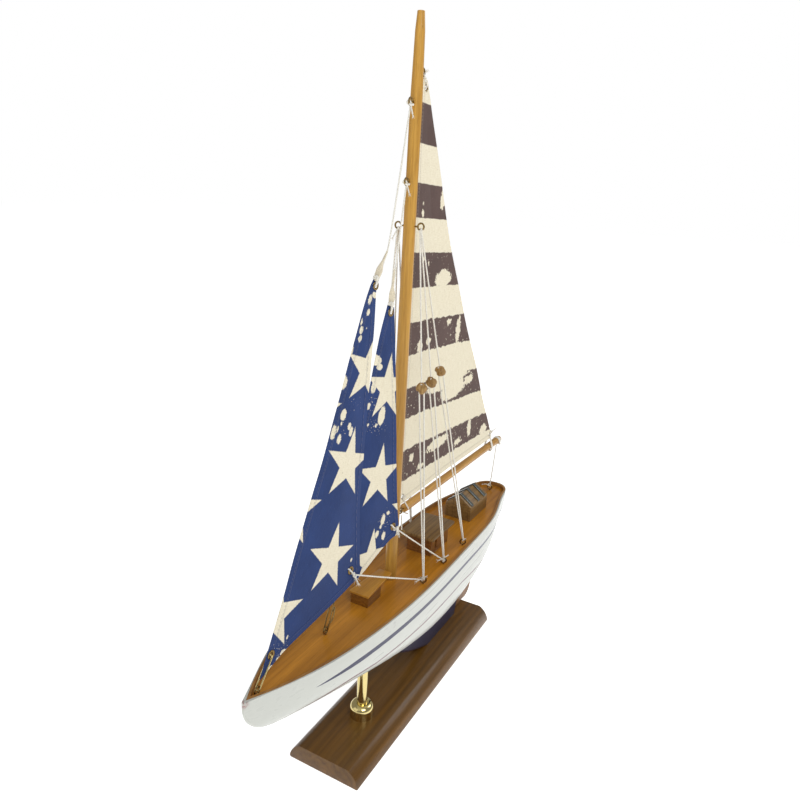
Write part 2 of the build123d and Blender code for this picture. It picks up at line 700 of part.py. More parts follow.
with BuildPart() as inner_jib:
    with BuildSketch(inner_plane):
        with BuildLine():
            head = Line((0, 226), (6.5, 226))
            leech = Spline(head @ 1, (23.2, 184.6), (49.7, 109.3), (64.6, 72.4), (75, 50.7))
            foot = Spline(leech @ 1, (63, 45.9), (31.1, 18.8), (20.7, 12.6), (3, 0))
            tack = Line(foot @ 1, (0, 0))
            Line(tack @ 1, head @ 0)
        make_face()
        with Locations(*INNER_GROMMETS):
            Circle(GROMMET_BARREL, mode=Mode.SUBTRACT)
    extrude(amount=SAIL_THICK / 2, both=True)
save(inner_jib, "inner_jib")

with BuildPart() as inner_jib_grommets:
    grommets(inner_plane, INNER_GROMMETS)
save(inner_jib_grommets, "inner_jib_grommets")

inner_tack = inner_plane.from_local_coords((*INNER_GROMMETS[1], 0))
save(wire_link(jib_eye_plane.origin, inner_tack, inner_plane.z_dir), "inner_tack_link")

# ---------------------------------------------------------------- boom and mainsail
boom_run = Vector(BOOM_END[0] - BOOM_FRONT[0], 0, BOOM_END[1] - BOOM_FRONT[1])
boom_start = Vector(BOOM_FRONT[0], 0, BOOM_FRONT[1])
MAIN_GROMMETS = [(8.0, 518.0), (13.1, 198.4), (-181.0, 197.0)]  # head, tack, clew
BOOM_EYE_X = BOOM_FRONT[0] + EYE_NECK + EYE_RADIUS + 1.3

with BuildPart() as boom:
    with Locations(Plane(origin=boom_start, z_dir=boom_run)):
        Cylinder(BOOM_RADIUS, boom_run.length, align=(Align.CENTER, Align.CENTER, Align.MIN))
    fillet(boom.edges().filter_by(GeomType.CIRCLE), radius=1.2)
save(boom, "boom")

with BuildPart() as boom_eye:
    eye_screw(Plane(origin=(BOOM_EYE_X, 0, GOOSENECK_Z), x_dir=(0, 0, 1), z_dir=(1, 0, 0)))
save(boom_eye, "boom_eye")

with BuildPart() as mainsail:
    with BuildSketch(centre_plane):
        with BuildLine():
            head = Line((15.2, 523.5), (7.0, 523.5))
            leech = Spline(head @ 1, (-54.6, 398.4), (-127.7, 282.7), (-187.2, 191.8))
            foot = Spline(leech @ 1, (-84, 192.6), (19.0, 192.5))
            Line(foot @ 1, head @ 0)
        make_face()
        with Locations(*MAIN_GROMMETS):
            Circle(GROMMET_BARREL, mode=Mode.SUBTRACT)
    extrude(amount=SAIL_THICK / 2, both=True)
save(mainsail, "mainsail")

with BuildPart() as mainsail_grommets:
    grommets(centre_plane, MAIN_GROMMETS)
save(mainsail_grommets, "mainsail_grommets")


def boom_plane(x, lean_to=None):
    """Plane square to the boom at x, local X to port and local Y up, or leaning to a point."""
    z = BOOM_FRONT[1] + (x - BOOM_FRONT[0]) * boom_run.Z / boom_run.X
    up = Vector(0, 0, 1) if lean_to is None else Vector(lean_to[0] - x, 0, lean_to[1] - z)
    return Plane(origin=(x, 0, z), x_dir=(0, 1, 0), z_dir=Vector(0, 1, 0).cross(up)), up.length


clew_turn, clew_rise = boom_plane(MAIN_GROMMETS[2][0], MAIN_GROMMETS[2])
tack_turn, tack_rise = boom_plane(6.0, MAIN_GROMMETS[1])

save(lashing(clew_turn, clew_rise), "clew_lashing")
save(lashing(tack_turn, tack_rise), "tack_lashing")

head_grommet = Vector(MAIN_GROMMETS[0][0], 0, MAIN_GROMMETS[0][1])
save(wire_link(head_eye_plane.origin, head_grommet, Vector(0, 1, 0), CORD_RADIUS), "head_lashing")

whipping_plane, whipping_rise = boom_plane(WHIPPING_X)

with BuildPart() as boom_whipping:
    with Locations(whipping_plane):
        Cylinder(BOOM_RADIUS + 2 * CORD_RADIUS, WHIPPING_LENGTH)
        Cylinder(BOOM_RADIUS, 2 * WHIPPING_LENGTH, mode=Mode.SUBTRACT)
save(boom_whipping, "boom_whipping")

# ---------------------------------------------------------------- running rigging


def ring_foot(plane):
    return plane.origin - Vector(0, 0, EYE_RADIUS)


def ring_head(plane):
    return plane.origin + Vector(0, 0, EYE_RADIUS)


def clew_side(plane, place):
    """Point just off the port side of a headsail, level with a grommet."""
    side = 1 if plane.z_dir.Y > 0 else -1
    return plane.from_local_coords((*place, side * CORD_GAP))


def halyard_start(z):
    return Vector(mast_x(z) + 4.5 + EYE_NECK + EYE_RADIUS, 0, z - EYE_RADIUS)


OUTER_HALYARD_BEND = (53.5, 0.0, 404.5)
OUTER_HALYARD_END = (66.2, 0.0, 389.0)
INNER_HALYARD_END = (46.0, 0.3, 367.2)
halyard_in = Vector(*OUTER_HALYARD_BEND) - halyard_start(HALYARD_EYE_Z[0])
halyard_out = Vector(*OUTER_HALYARD_END) - Vector(*OUTER_HALYARD_BEND)
halyard_turn = radians(halyard_in.get_angle(halyard_out))
halyard_radius = 0.45 * min(halyard_in.length, halyard_out.length) / tan(halyard_turn / 2)

with BuildPart() as outer_halyard:
    with BuildLine() as halyard_path:
        FilletPolyline(
            tuple(halyard_start(HALYARD_EYE_Z[0])), OUTER_HALYARD_BEND, OUTER_HALYARD_END,
            radius=halyard_radius,
        )
    with BuildSketch(Plane(origin=halyard_path.line @ 0, z_dir=halyard_in)):
        Circle(CORD_RADIUS)
    sweep(path=halyard_path.wires()[0])
save(outer_halyard, "outer_halyard")

straight_cords = {
    "inner_halyard": (halyard_start(HALYARD_EYE_Z[1]), Vector(*INNER_HALYARD_END)),
    "outer_jib_sheet": (ring_foot(chainplates[0]), clew_side(outer_plane, OUTER_GROMMETS[2])),
    "inner_jib_sheet": (ring_foot(chainplates[2]), clew_side(inner_plane, INNER_GROMMETS[2])),
    "mainsheet": (ring_head(stern_eye_plane), Vector(-206, 0, 176.9)),
    "tack_line": (Vector(*TACK_EYE) + Vector(0, 0, EYE_RADIUS), Vector(14.6, 0.9, 181.9)),
}
for name, (start, end) in straight_cords.items():
    with BuildPart() as cord:
        straight(start, end)
    save(cord, name)
    print(name, [round(v, 2) for v in (*start, *end)], "length", round((end - start).length, 2))
halyard_length = sum(edge.length for edge in halyard_path.edges())
print("outer_halyard radius", round(halyard_radius, 2), "length", round(halyard_length, 2))
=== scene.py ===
"""Looks of a wooden display sloop on its stand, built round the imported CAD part."""
from math import atan2, ceil, cos, exp, pi, radians, sin, tau
from random import Random

import bmesh
import bpy
from mathutils import Matrix, Vector


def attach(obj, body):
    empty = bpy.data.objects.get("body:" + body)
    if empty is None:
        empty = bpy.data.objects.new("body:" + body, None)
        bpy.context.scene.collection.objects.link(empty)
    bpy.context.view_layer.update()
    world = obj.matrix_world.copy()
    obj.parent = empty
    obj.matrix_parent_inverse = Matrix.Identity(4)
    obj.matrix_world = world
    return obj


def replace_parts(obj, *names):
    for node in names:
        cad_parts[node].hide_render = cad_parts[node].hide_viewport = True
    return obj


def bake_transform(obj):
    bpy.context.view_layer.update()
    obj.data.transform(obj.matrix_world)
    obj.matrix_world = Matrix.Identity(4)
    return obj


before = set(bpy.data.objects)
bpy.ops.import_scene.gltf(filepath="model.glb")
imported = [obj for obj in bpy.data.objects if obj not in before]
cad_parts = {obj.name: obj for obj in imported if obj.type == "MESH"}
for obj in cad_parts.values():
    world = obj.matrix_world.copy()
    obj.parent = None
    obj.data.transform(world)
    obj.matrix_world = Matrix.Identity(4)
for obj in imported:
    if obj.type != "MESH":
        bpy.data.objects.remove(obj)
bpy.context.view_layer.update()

rng = Random(11)
MM = 0.001

# ---------------------------------------------------------------- bodies that pieces ride on
HULL, SAIL_AND_BOOM = "hull_and_stand", "boom_and_mainsail"
OUTER_JIB, INNER_JIB = "outer_headsail", "inner_headsail"

# ---------------------------------------------------------------- dimensions, in mm
CHAINPLATE_X = (20.5, -19.0, -61.0)
CHAINPLATE_Y = 28.0
SHROUD_EYE_Y = 9.6
DEADEYE_FALL = (0.42, 0.415, 0.394)
BOOM_FRONT = Vector((10.0, 0, 186.2))
BOOM_END = Vector((-212.0, 0, 182.3))
BOOM_RADIUS = 3.7
CORD = 0.6                   # radius of the rigging cord
CLOTH = 0.45                 # thickness of the sailcloth
HOLE = 3.05                  # radius of the hole that an eyelet fills
HEM = 5.2                    # width of the turned hem
STAR = 26.5                  # tip radius of a printed star

OUTER_TACK, OUTER_HEAD, OUTER_SWING = (198, 0, 139.5), (70.2, 0, 389), 5.0
INNER_TACK, INNER_HEAD, INNER_SWING = (121, 0, 152), (49, 0, 365.5), 8.0

OUTER_LEECH = [(85, 72), (56.8, 127.3), (46.6, 159.3), (18.2, 240), (3, 280)]
OUTER_FOOT = [(0, 0), (18.6, 19.4), (57, 48), (75.4, 63), (85, 72)]
OUTER_EYELETS = [(3.5, 275), (3.8, 16.4), (70.3, 74.7)]
INNER_LEECH = [(75, 50.7), (64.6, 72.4), (49.7, 109.3), (23.2, 184.6), (6.5, 226)]
INNER_FOOT = [(0, 0), (3, 0.2), (20.7, 12.6), (31.1, 18.8), (63, 45.9), (75, 50.7)]
INNER_EYELETS = [(3.6, 221.6), (4.0, 6.5), (63, 57)]
MAIN_LEECH = [(-187.2, 191.8), (-127.7, 282.7), (-54.6, 398.4), (7, 523.5)]
MAIN_FOOT = [(19, 192.5), (-84, 192.6), (-187.2, 191.8)]
MAIN_EYELETS = [(8, 518), (13.1, 198.4), (-181, 197)]


def deck_z(x):
    return 127.4 + 0.013 * x


# ---------------------------------------------------------------- camera
# Unit directions of the view to the right, up and away, then the place that it is seen from.
right = Vector((-0.48901, 0.87113, 0.04463))
up = Vector((-0.2393, -0.18319, 0.95351))
away = Vector((-0.83881, -0.4556, -0.29804))
camera_data = bpy.data.cameras.new("camera")
camera_data.lens, camera_data.sensor_width = 31.271, 36.0
camera_data.clip_start, camera_data.clip_end = 0.01, 30
camera = bpy.data.objects.new("camera", camera_data)
camera.matrix_world = Matrix.Translation(Vector((489.04, 251.939, 452.19)) * MM) @ Matrix(
    (right, up, -away)
).transposed().to_4x4()
bpy.context.collection.objects.link(camera)
bpy.context.scene.camera = camera


# ---------------------------------------------------------------- finishes
def tint(red, green, blue):
    """A display colour from 0 to 255 as a linear colour."""
    return tuple(
        c / 255 / 12.92 if c < 11 else ((c / 255 + 0.055) / 1.055) ** 2.4
        for c in (red, green, blue)
    ) + (1.0,)


def shade_of(colour, share):
    """A display colour made darker or lighter by a share, as a linear colour."""
    return tint(*[min(255, c * share) for c in colour])


class Signal:
    """An output of a shader node. Arithmetic on it adds Math nodes."""

    def __init__(self, finish, socket):
        self.finish, self.socket = finish, socket

    def math(self, operation, *others):
        return self.finish.number(operation, self, *others)

    def __add__(self, other):
        return self.math("ADD", other)

    def __sub__(self, other):
        return self.math("SUBTRACT", other)

    def __mul__(self, other):
        return self.math("MULTIPLY", other)

    def __neg__(self):
        return self.math("MULTIPLY", -1.0)

    def __radd__(self, other):
        return self.finish.number("ADD", other, self)

    def __rsub__(self, other):
        return self.finish.number("SUBTRACT", other, self)

    def __rmul__(self, other):
        return self.finish.number("MULTIPLY", other, self)


class Finish:
    """One procedural material."""

    def __init__(self, name, **constants):
        self.material = bpy.data.materials.new(name)
        self.material.use_nodes = True
        self.tree = self.material.node_tree
        self.shader = self.tree.nodes["Principled BSDF"]
        for label, value in constants.items():
            self.wear(label.replace("_", " "), value)

    def add(self, kind, settings=None, sockets=None, output=0):
        """A node of any type, its settings made first, as the Signal of one of its outputs."""
        node = self.tree.nodes.new(kind)
        for label, value in (settings or {}).items():
            setattr(node, label, value)
        for label, value in (sockets or {}).items():
            self.feed(value, node.inputs[label])
        return Signal(self, node.outputs[output])

    def feed(self, value, socket):
        if isinstance(value, Signal):
            self.tree.links.new(value.socket, socket)
        else:
            socket.default_value = value

    def wear(self, label, value):
        """Gives an input of the shader a constant or a Signal."""
        self.feed(value, self.shader.inputs[label])

    def number(self, operation, *values):
        return self.add("ShaderNodeMath", {"operation": operation}, dict(enumerate(values)))

    def vector(self, operation, *values, output=0):
        return self.add(
            "ShaderNodeVectorMath", {"operation": operation}, dict(enumerate(values)), output
        )

    def place(self):
        """Where the surface is in the row frame, in mm."""
        at = self.add("ShaderNodeTexCoord", output="Object")
        return self.vector("MULTIPLY", at, (1000, 1000, 1000))

    def parts(self, vector):
        split = self.add("ShaderNodeSeparateXYZ", sockets={0: vector})
        return [Signal(self, out) for out in split.socket.node.outputs]

    def noise(self, vector, scale, detail=2.0, rough=0.5):
        return self.add(
            "ShaderNodeTexNoise",
            sockets={"Vector": vector, "Scale": scale, "Detail": detail, "Roughness": rough},
        )

    def ramp(self, value, low, high):
        """0 up to low and 1 from high on."""
        return self.add("ShaderNodeMapRange", sockets={0: value, 1: low, 2: high})

    def mix(self, share, a, b):
        return self.add("ShaderNodeMix", {"data_type": "RGBA"}, {0: share, 6: a, 7: b}, output=2)

    def bump(self, height, distance, strength=1.0):
        """height times distance, in mm, as a bump."""
        normal = self.add(
            "ShaderNodeBump",
            sockets={"Height": height, "Distance": distance * MM, "Strength": strength},
        )
        self.wear("Normal", normal)


def timber(name, light, dark, along=0, ring=6.0, pith=(0, -30), streak=3.0, pores=0.35,
           rough=0.32, coat=0.35, line=None):
    """Varnished wood with its grain along one axis of the row frame.

    Ring and streak are their spacing in mm. Line is the width, gap and depth of planking lines.
    """
    wood = Finish(
        name, Roughness=rough, Coat_Weight=coat, Coat_Roughness=0.1, Specular_IOR_Level=0.3)
    at = wood.place()
    stretch = [1.0, 1.0, 1.0]
    stretch[along] = 0.035
    drawn = wood.vector("MULTIPLY", at, tuple(stretch))
    axes = wood.parts(drawn)
    side, rise = [axes[k] for k in range(3) if k != along]
    wander = wood.noise(drawn, 0.09, 2.0) * 14
    side_gap, rise_gap = side - pith[0], rise - pith[1]
    radius = (side_gap * side_gap + rise_gap * rise_gap).math("SQRT") + wander
    rings = (radius * (tau / ring)).math("SINE") * 0.5 + 0.5
    figure = wood.noise(drawn, 1.0 / streak, 3.0, 0.62)
    shade = wood.ramp(rings * 0.22 + figure, 0.34, 0.92)
    colour = wood.mix(shade, tint(*light), tint(*dark))
    broad = wood.ramp(wood.noise(drawn, 0.06, 1.0), 0.35, 0.7)
    colour = wood.mix(broad * 0.35, colour, shade_of(dark, 0.8))
    pore = wood.ramp(wood.noise(drawn, 2.3, 1.0), 0.6, 0.72)
    colour = wood.mix(pore * pores, colour, shade_of(dark, 0.55))
    if line:
        width, gap, depth = line
        across_line = side.math("PINGPONG", gap / 2)
        cut = wood.ramp(across_line, width, width * 0.4)
        colour = wood.mix(cut * depth, colour, shade_of(dark, 0.45))
    wood.wear("Base Color", colour)
    wood.bump(figure * 0.5 + pore * -0.4, 0.12, 0.5)
    return wood.material


def plain(name, colour, rough=0.4, metal=0.0, coat=0.0, mottle=0.0, grain=0.4):
    """Paint or metal, a little uneven where mottle says so."""
    skin = Finish(name, Metallic=metal, Coat_Weight=coat, Coat_Roughness=0.08)
    cloud = skin.noise(skin.place(), grain, 3.0)
    patch = skin.ramp(cloud, 0.35, 0.7) * mottle
    skin.wear("Base Color", skin.mix(patch, tint(*colour), shade_of(colour, 0.5)))
    skin.wear("Roughness", cloud * 0.12 + (rough - 0.06))
    return skin.material


def hull_finish():
    """Gloss white with a navy band and a thin dark red line under it."""
    paint = Finish(
        "hull gloss white", Coat_Weight=0.12, Coat_Roughness=0.12, Specular_IOR_Level=0.35)
    at = paint.place()
    x, y, z = paint.parts(at)
    jitter = (paint.noise(at, 0.12, 2.0) - 0.5) * 0.5
    band_z = x * 0.0213 + 115.3
    point = paint.ramp(x, 164.0, 124.0).math("POWER", 0.7)
    half = point * (paint.ramp(x, -150, 80) * 0.9 + 1.3)
    band = paint.ramp((z - band_z).math("ABSOLUTE") - half + jitter * 0.3, 0.15, -0.15)
    band = band * paint.ramp(x, 164, 163) * paint.ramp(x, -190, -188)
    line_z = 87.4
    for start, stop, climb in (
        (-108, -50, 7.1), (-50, 22, 2.2), (22, 97, 2.3), (97, 125, 4.0), (125, 168, 1.2)):
        line_z = paint.ramp(x, start, stop) * climb + line_z
    line = paint.ramp((z - line_z).math("ABSOLUTE") + jitter * 0.4, 1.05, 0.7)
    line = line * paint.ramp(x, 178, 150) * paint.ramp(x, -150, -120)
    drawn = paint.vector("MULTIPLY", at, (0.03, 1, 1))
    ridge = paint.noise(drawn, 0.3, 2.0)
    colour = paint.mix(paint.ramp(ridge, 0.3, 0.75) * 0.3, tint(200, 202, 195), tint(190, 192, 184))
    scuff = paint.ramp(paint.noise(at, 0.09, 4.0, 0.7), 0.67, 0.74) * 0.35
    colour = paint.mix(scuff, colour, tint(150, 150, 145))
    stem = paint.ramp(x, 211.0, 214.0) * paint.ramp(z, 128.0, 131.5)
    stem = stem * paint.ramp(paint.noise(at, 0.6), 0.4, 0.6)
    colour = paint.mix(stem * 0.7, colour, tint(140, 60, 60))
    colour = paint.mix(band, colour, tint(16, 18, 66))
    colour = paint.mix(line * 0.9, colour, tint(92, 26, 46))
    paint.wear("Base Color", colour)
    paint.wear("Roughness", ridge * 0.2 + 0.2)
    paint.bump(ridge, 0.2, 0.15)
    return paint.material


def offset_from(cloth, at, centre):
    """A place on the cloth as seen from a centre."""
    return cloth.vector("SUBTRACT", at, (centre[0], centre[1], 0))


def star_depth(cloth, at, centre, lean=25.0, size=STAR):
    """Signed distance in mm from a printed star's edge, negative inside it."""
    x, y, z = cloth.parts(offset_from(cloth, at, centre))
    turn = y.math("ARCTAN2", x) + (tau - radians(lean))
    fold = turn.math("PINGPONG", pi / 5)
    reach = (x * x + y * y).math("SQRT")
    return reach * (fold - radians(72)).math("COSINE") - size * cos(radians(72))


def blot_depth(cloth, at, centre, wide, tall):
    """Rough distance in mm from an oval's edge, negative inside it."""
    gap = offset_from(cloth, at, centre)
    gap = cloth.vector("DIVIDE", gap, (wide, tall, 1))
    return (cloth.vector("LENGTH", gap, output=1) - 1.0) * min(wide, tall)


def nearest(first, *others):
    """The smallest of some depths, which joins their shapes."""
    for other in others:
        first = first.math("MINIMUM", other)
    return first


def sailcloth(name, mark, ink, stitch, coverage):
    """Unbleached cotton canvas with a worn print.

    mark(cloth, at, x, y) is where the ink lies, from 0 to 1.
    """
    cloth = Finish(name, Roughness=0.9, Specular_IOR_Level=0.15, Sheen_Weight=0.15)
    chart = cloth.add("ShaderNodeUVMap", {"uv_map": "cloth"})
    at = cloth.vector("MULTIPLY", chart, (100, 100, 0))
    x, y, z = cloth.parts(at)
    weft = cloth.noise(cloth.vector("MULTIPLY", at, (0.25, 2.2, 1)), 0.9, 2.0)
    warp = cloth.noise(cloth.vector("MULTIPLY", at, (2.2, 0.18, 1)), 0.9, 2.0)
    base = cloth.mix(cloth.ramp(weft + warp, 0.8, 1.25), tint(234, 226, 203), tint(221, 211, 184))
    fleck = cloth.ramp(cloth.noise(at, 0.75, 1.0), 0.735, 0.76)
    base = cloth.mix(fleck * 0.7, base, tint(130, 104, 66))
    coat = mark(cloth, at, x, y)
    worn = cloth.ramp(cloth.noise(at, 2.4, 2.0, 0.7), 0.74, 0.78) * coverage
    streak = cloth.ramp(warp, 0.35, 0.75)
    dye = cloth.mix(streak * 0.6, tint(*ink), shade_of(ink, 0.78))
    faded = cloth.ramp(cloth.noise(at, 0.03, 2.0), 0.4, 0.7) * 0.3
    dye = cloth.mix(faded, dye, shade_of(ink, 1.25))
    hem = cloth.add("ShaderNodeAttribute", {"attribute_name": "hem"}, output="Fac") * 100.0
    # A thin line of painted shade along the fold of the turned hem, in a darker ink tone.
    hem_fold_shade = cloth.ramp((hem - HEM).math("ABSOLUTE"), 0.7, 0.1)
    dash = cloth.ramp(((x + y) * (tau / 2.6)).math("SINE"), -0.5, 0.1)
    sewn = cloth.ramp((hem - (HEM - 1.1)).math("ABSOLUTE"), 0.34, 0.2) * dash
    colour = cloth.mix(coat * (1.0 - worn), base, dye)
    # Mixes in the painted shade along the hem's fold.
    colour = cloth.mix(hem_fold_shade * 0.2, colour, shade_of(ink, 0.78))
    colour = cloth.mix(sewn * 0.45, colour, tint(*stitch))
    cloth.wear("Base Color", colour)
    turned = cloth.ramp(hem, HEM + 0.25, HEM - 0.25)
    cloth.bump(turned * 0.6 + (weft + warp) * 0.22 + sewn * -0.2, 0.5, 0.7)
    return cloth.material


def outer_print(cloth, at, x, y):
    """Blue with cream stars, blots and spray."""
    ragged = (cloth.noise(at, 0.55, 3.0, 0.65) - 0.5) * 2.4
    fine = (cloth.noise(at, 0.8, 2.0) - 0.5) * 0.9
    stars = [star_depth(cloth, at, c) for c in (
        (22.5, 217.7), (29, 150.3), (40.2, 82.6), (-13.7, 110.6), (-3.5, 42.2), (-20.8, 177.5))]
    blots = [blot_depth(cloth, at, c, w, t) for c, w, t in (
        ((1.8, 264.0), 1.9, 3.6), ((5.4, 268.6), 2.8, 2.2), ((3.6, 255.2), 1.7, 2.4),
        ((-0.6, 246.5), 0.9, 2.2), ((1.6, 241.5), 1.9, 2.8), ((2.8, 235.6), 1.8, 2.6),
        ((6.4, 244.5), 0.6, 0.7), ((-2.4, 224.5), 2.0, 4.6), ((8.6, 181.8), 3.0, 4.2),
        ((2.8, 168), 2.5, 5.2),
        ((10.7, 164.6), 2.0, 3.4), ((18.4, 175.8), 1.8, 2.6), ((9.1, 175.6), 0.9, 1.1),
        ((6.4, 171), 0.9, 2.0), ((21.6, 172.5), 2.0, 3.4), ((-0.4, 202.7), 3.2, 4.6),
        ((14.5, 12.3), 4.0, 2.6), ((7.4, 6.7), 3.0, 2.4), ((17.2, 17.2), 4.2, 2.2),
        ((15.6, 27.4), 0.8, 1.2), ((67.2, 82.5), 1.0, 1.4))]
    spot = cloth.ramp(cloth.noise(at, 0.62, 1.0), 0.69, 0.72)
    near = nearest(*[blot_depth(cloth, at, c, w, t) for c, w, t in (
        ((18, 192), 7, 5), ((8, 172), 9, 9), ((12, 18), 12, 12))])
    spray = spot * cloth.ramp(near, 2.0, -4.0)
    depth = nearest(nearest(*stars) + fine, nearest(*blots) + ragged)
    return cloth.ramp(depth, -0.25, 0.25) * (1.0 - spray)


def inner_print(cloth, at, x, y):
    """Blue with cream stars, blots and spray."""
    ragged = (cloth.noise(at, 0.55, 3.0, 0.65) - 0.5) * 2.4
    fine = (cloth.noise(at, 0.8, 2.0) - 0.5) * 0.9
    stars = [star_depth(cloth, at, c) for c in (
        (18.6, 166.4), (29.8, 98), (41, 30.5), (81.9, 70.6))]
    blots = [blot_depth(cloth, at, c, w, t) for c, w, t in (
        ((-2.2, 184.5), 6.4, 4.0), ((3.4, 180.5), 3.4, 2.6), ((17.1, 144.9), 4.0, 7.4),
        ((47.2, 63.3), 2.6, 4.6),
        ((52.6, 68.7), 2.0, 1.7), ((42.9, 51.8), 2.2, 3.0), ((52.3, 50), 2.4, 3.4),
        ((-0.6, 150.5), 2.0, 2.6), ((1.0, 164.4), 2.8, 4.2), ((12.6, 137), 1.2, 1.4),
        ((3.2, 136.7), 1.0, 1.3), ((46, 57.5), 1.2, 1.6))]
    spot = cloth.ramp(cloth.noise(at, 0.62, 1.0), 0.67, 0.7)
    near = nearest(*[blot_depth(cloth, at, c, w, t) for c, w, t in (
        ((12, 136), 12, 5), ((50, 62), 8, 11), ((5, 158), 6, 10))])
    spray = spot * cloth.ramp(near, 2.0, -4.0)
    depth = nearest(nearest(*stars) + fine, nearest(*blots) + ragged)
    return cloth.ramp(depth, -0.25, 0.25) * (1.0 - spray)


def main_print(cloth, at, x, y):
    """Brown bands that are whole aloft and worn through lower down."""
    lower = cloth.ramp(y, 440, 300)
    ragged = (cloth.noise(at, 0.16, 4.0, 0.62) - 0.5) * (lower * 5.5 + 1.0)
    bands = []
    for top_z, top_rise, low_z, low_rise in (
        (507.9, 0.047, 480.4, 0.048), (452.7, 0.049, 427.8, 0.055),
        (401.8, 0.059, 374.7, 0.065), (347.6, 0.066, 321.8, 0.072),
        (293.9, 0.085, 268.0, 0.082), (240.0, 0.080, 213.0, 0.050)):
        over = y - (x * top_rise + (top_z - 10 * top_rise))
        under = (x * low_rise + (low_z - 10 * low_rise)) - y
        bands.append(over.math("MAXIMUM", under))
    cuts = [blot_depth(cloth, at, c, w, t) for c, w, t in (
        ((2.4, 430), 1.6, 6.5), ((-31, 441), 4.5, 7.5), ((-42, 377), 14.5, 7.2),
        ((-4, 396), 1.3, 1.6),
        ((-14, 392), 1.0, 1.2), ((-5.3, 325.4), 5.0, 6.0), ((-80.3, 327), 4.2, 12),
        ((-20.9, 327), 4.0, 3.4), ((-60, 338), 5, 2.4), ((-78.5, 272), 27, 8.5),
        ((-66, 284), 44, 8.0), ((-30, 289), 9, 5),
        ((-112, 274), 10, 4.4), ((-0.4, 229.5), 4.2, 3.4), ((-52, 226.8), 22, 5.2),
        ((-125, 220.7), 4.4, 9.5), ((-160.3, 209), 9, 5), ((-98, 214), 8, 3.2),
        ((-18, 216), 6, 2.6))]
    spot = cloth.ramp(cloth.noise(at, 0.33, 2.0), 0.66, 0.7) * lower
    hole = nearest(*cuts) + (cloth.noise(at, 0.3, 3.0, 0.6) - 0.5) * 8.0
    depth = (nearest(*bands) + ragged).math("MAXIMUM", -hole)
    return cloth.ramp(depth, 0.3, -0.3) * (1.0 - spot)


def cotton(name, colour):
    """Soft undyed cotton."""
    line = Finish(name, Roughness=0.9, Specular_IOR_Level=0.2, Sheen_Weight=0.3)
    cloud = line.ramp(line.noise(line.place(), 1.6, 2.0), 0.3, 0.75)
    line.wear("Base Color", line.mix(cloud, tint(*colour), shade_of(colour, 0.84)))
    return line.material


finish = {
    "base_wood": timber(
        "walnut base", (120, 82, 28), (82, 54, 16), ring=6.5, pith=(-9, -14), streak=3.8,
        pores=0.25, rough=0.34, coat=0.12),
    "polished_brass": plain("polished brass", (216, 198, 138), rough=0.12, metal=1.0),
    "steel": plain("steel screws", (190, 190, 188), rough=0.3, metal=1.0),
    "navy_paint": plain("navy keel paint", (28, 33, 66), rough=0.3, coat=0.4, mottle=0.15),
    "white_paint": hull_finish(),
    "deck_wood": timber(
        "varnished deck", (204, 138, 42), (160, 102, 24), ring=9, pith=(3, -60), streak=3.4,
        pores=0.22, rough=0.26, coat=0.12, line=(0.2, 13.0, 0.2)),
    "rail_wood": timber(
        "toe rail wood", (186, 136, 72), (138, 92, 44), streak=1.6, rough=0.4, coat=0.05),
    "rudder_wood": timber(
        "rudder wood", (156, 112, 70), (110, 74, 42), along=2, rough=0.45, coat=0.1),
    "house_wood": timber("foredeck house wood", (150, 98, 32), (110, 68, 20), streak=1.8, ring=4),
    "hatch_wood": timber("hatch slab wood", (214, 156, 58), (172, 116, 36), streak=1.8, ring=4),
    "cabin_wood": timber("cabin side wood", (152, 102, 50), (108, 68, 30), streak=1.8, ring=4),
    "roof_wood": timber(
        "cabin roof wood", (148, 116, 68), (108, 80, 44), streak=2.0, ring=4, coat=0.0,
        line=(0.3, 5.6, 0.5)),
    "slate_paint": plain("slate bars", (60, 66, 62), rough=0.35, coat=0.2, mottle=0.2),
    "spar_wood": timber(
        "mast wood", (214, 164, 76), (172, 124, 48), along=2, streak=1.5, ring=5, pith=(9, 36),
        rough=0.36, coat=0.08),
    "boom_wood": timber(
        "boom wood", (212, 162, 82), (168, 118, 50), streak=1.5, ring=5, pith=(9, 170),
        rough=0.36, coat=0.08),
    "bead_wood": timber(
        "toggle wood", (186, 150, 94), (134, 100, 56), along=2, streak=1.2, ring=3, rough=0.5,
        coat=0.05),
    "main_canvas": sailcloth(
        "printed mainsail canvas", main_print, (86, 66, 61), (190, 170, 140), 1.0),
    "outer_canvas": sailcloth(
        "printed outer jib canvas", outer_print, (36, 58, 108), (96, 92, 108), 0.7),
    "inner_canvas": sailcloth(
        "printed inner jib canvas", inner_print, (36, 58, 108), (96, 92, 108), 0.7),
    "plain_canvas": cotton("twisted sail tail", (234, 222, 196)),
    "aged_brass": plain("aged brass", (150, 124, 76), rough=0.32, metal=1.0, mottle=0.6, grain=0.9),
    "cotton_line": cotton("cotton line", (244, 240, 228)),
}

CAD_FINISH = {
    "post_collar": "polished_brass", "post": "polished_brass", "post_rod": "steel",
    "keel_fin": "navy_paint", "keel_screws": "steel", "hull_shell": "white_paint",
    "deck": "deck_wood", "toe_rail": "rail_wood", "rudder_tube": "aged_brass",
    "rudder_stock": "aged_brass", "rudder_blade": "rudder_wood", "mast": "spar_wood",
    "boom": "boom_wood", "deadeyes": "bead_wood", "mast_halyard_eyes": "aged_brass",
    "mast_head_eye": "aged_brass", "mast_shroud_eyes": "aged_brass", "gooseneck_eye": "aged_brass",
    "tack_line_eye": "aged_brass", "chainplate_eyes": "aged_brass", "bow_eye": "aged_brass",
    "jib_tack_eye": "aged_brass", "stern_eye": "aged_brass", "boom_eye": "aged_brass",
    "outer_tack_link": "polished_brass", "inner_tack_link": "aged_brass",
}
for node, name in CAD_FINISH.items():
    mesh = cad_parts[node].data
    mesh.materials.clear()
    mesh.materials.append(finish[name])


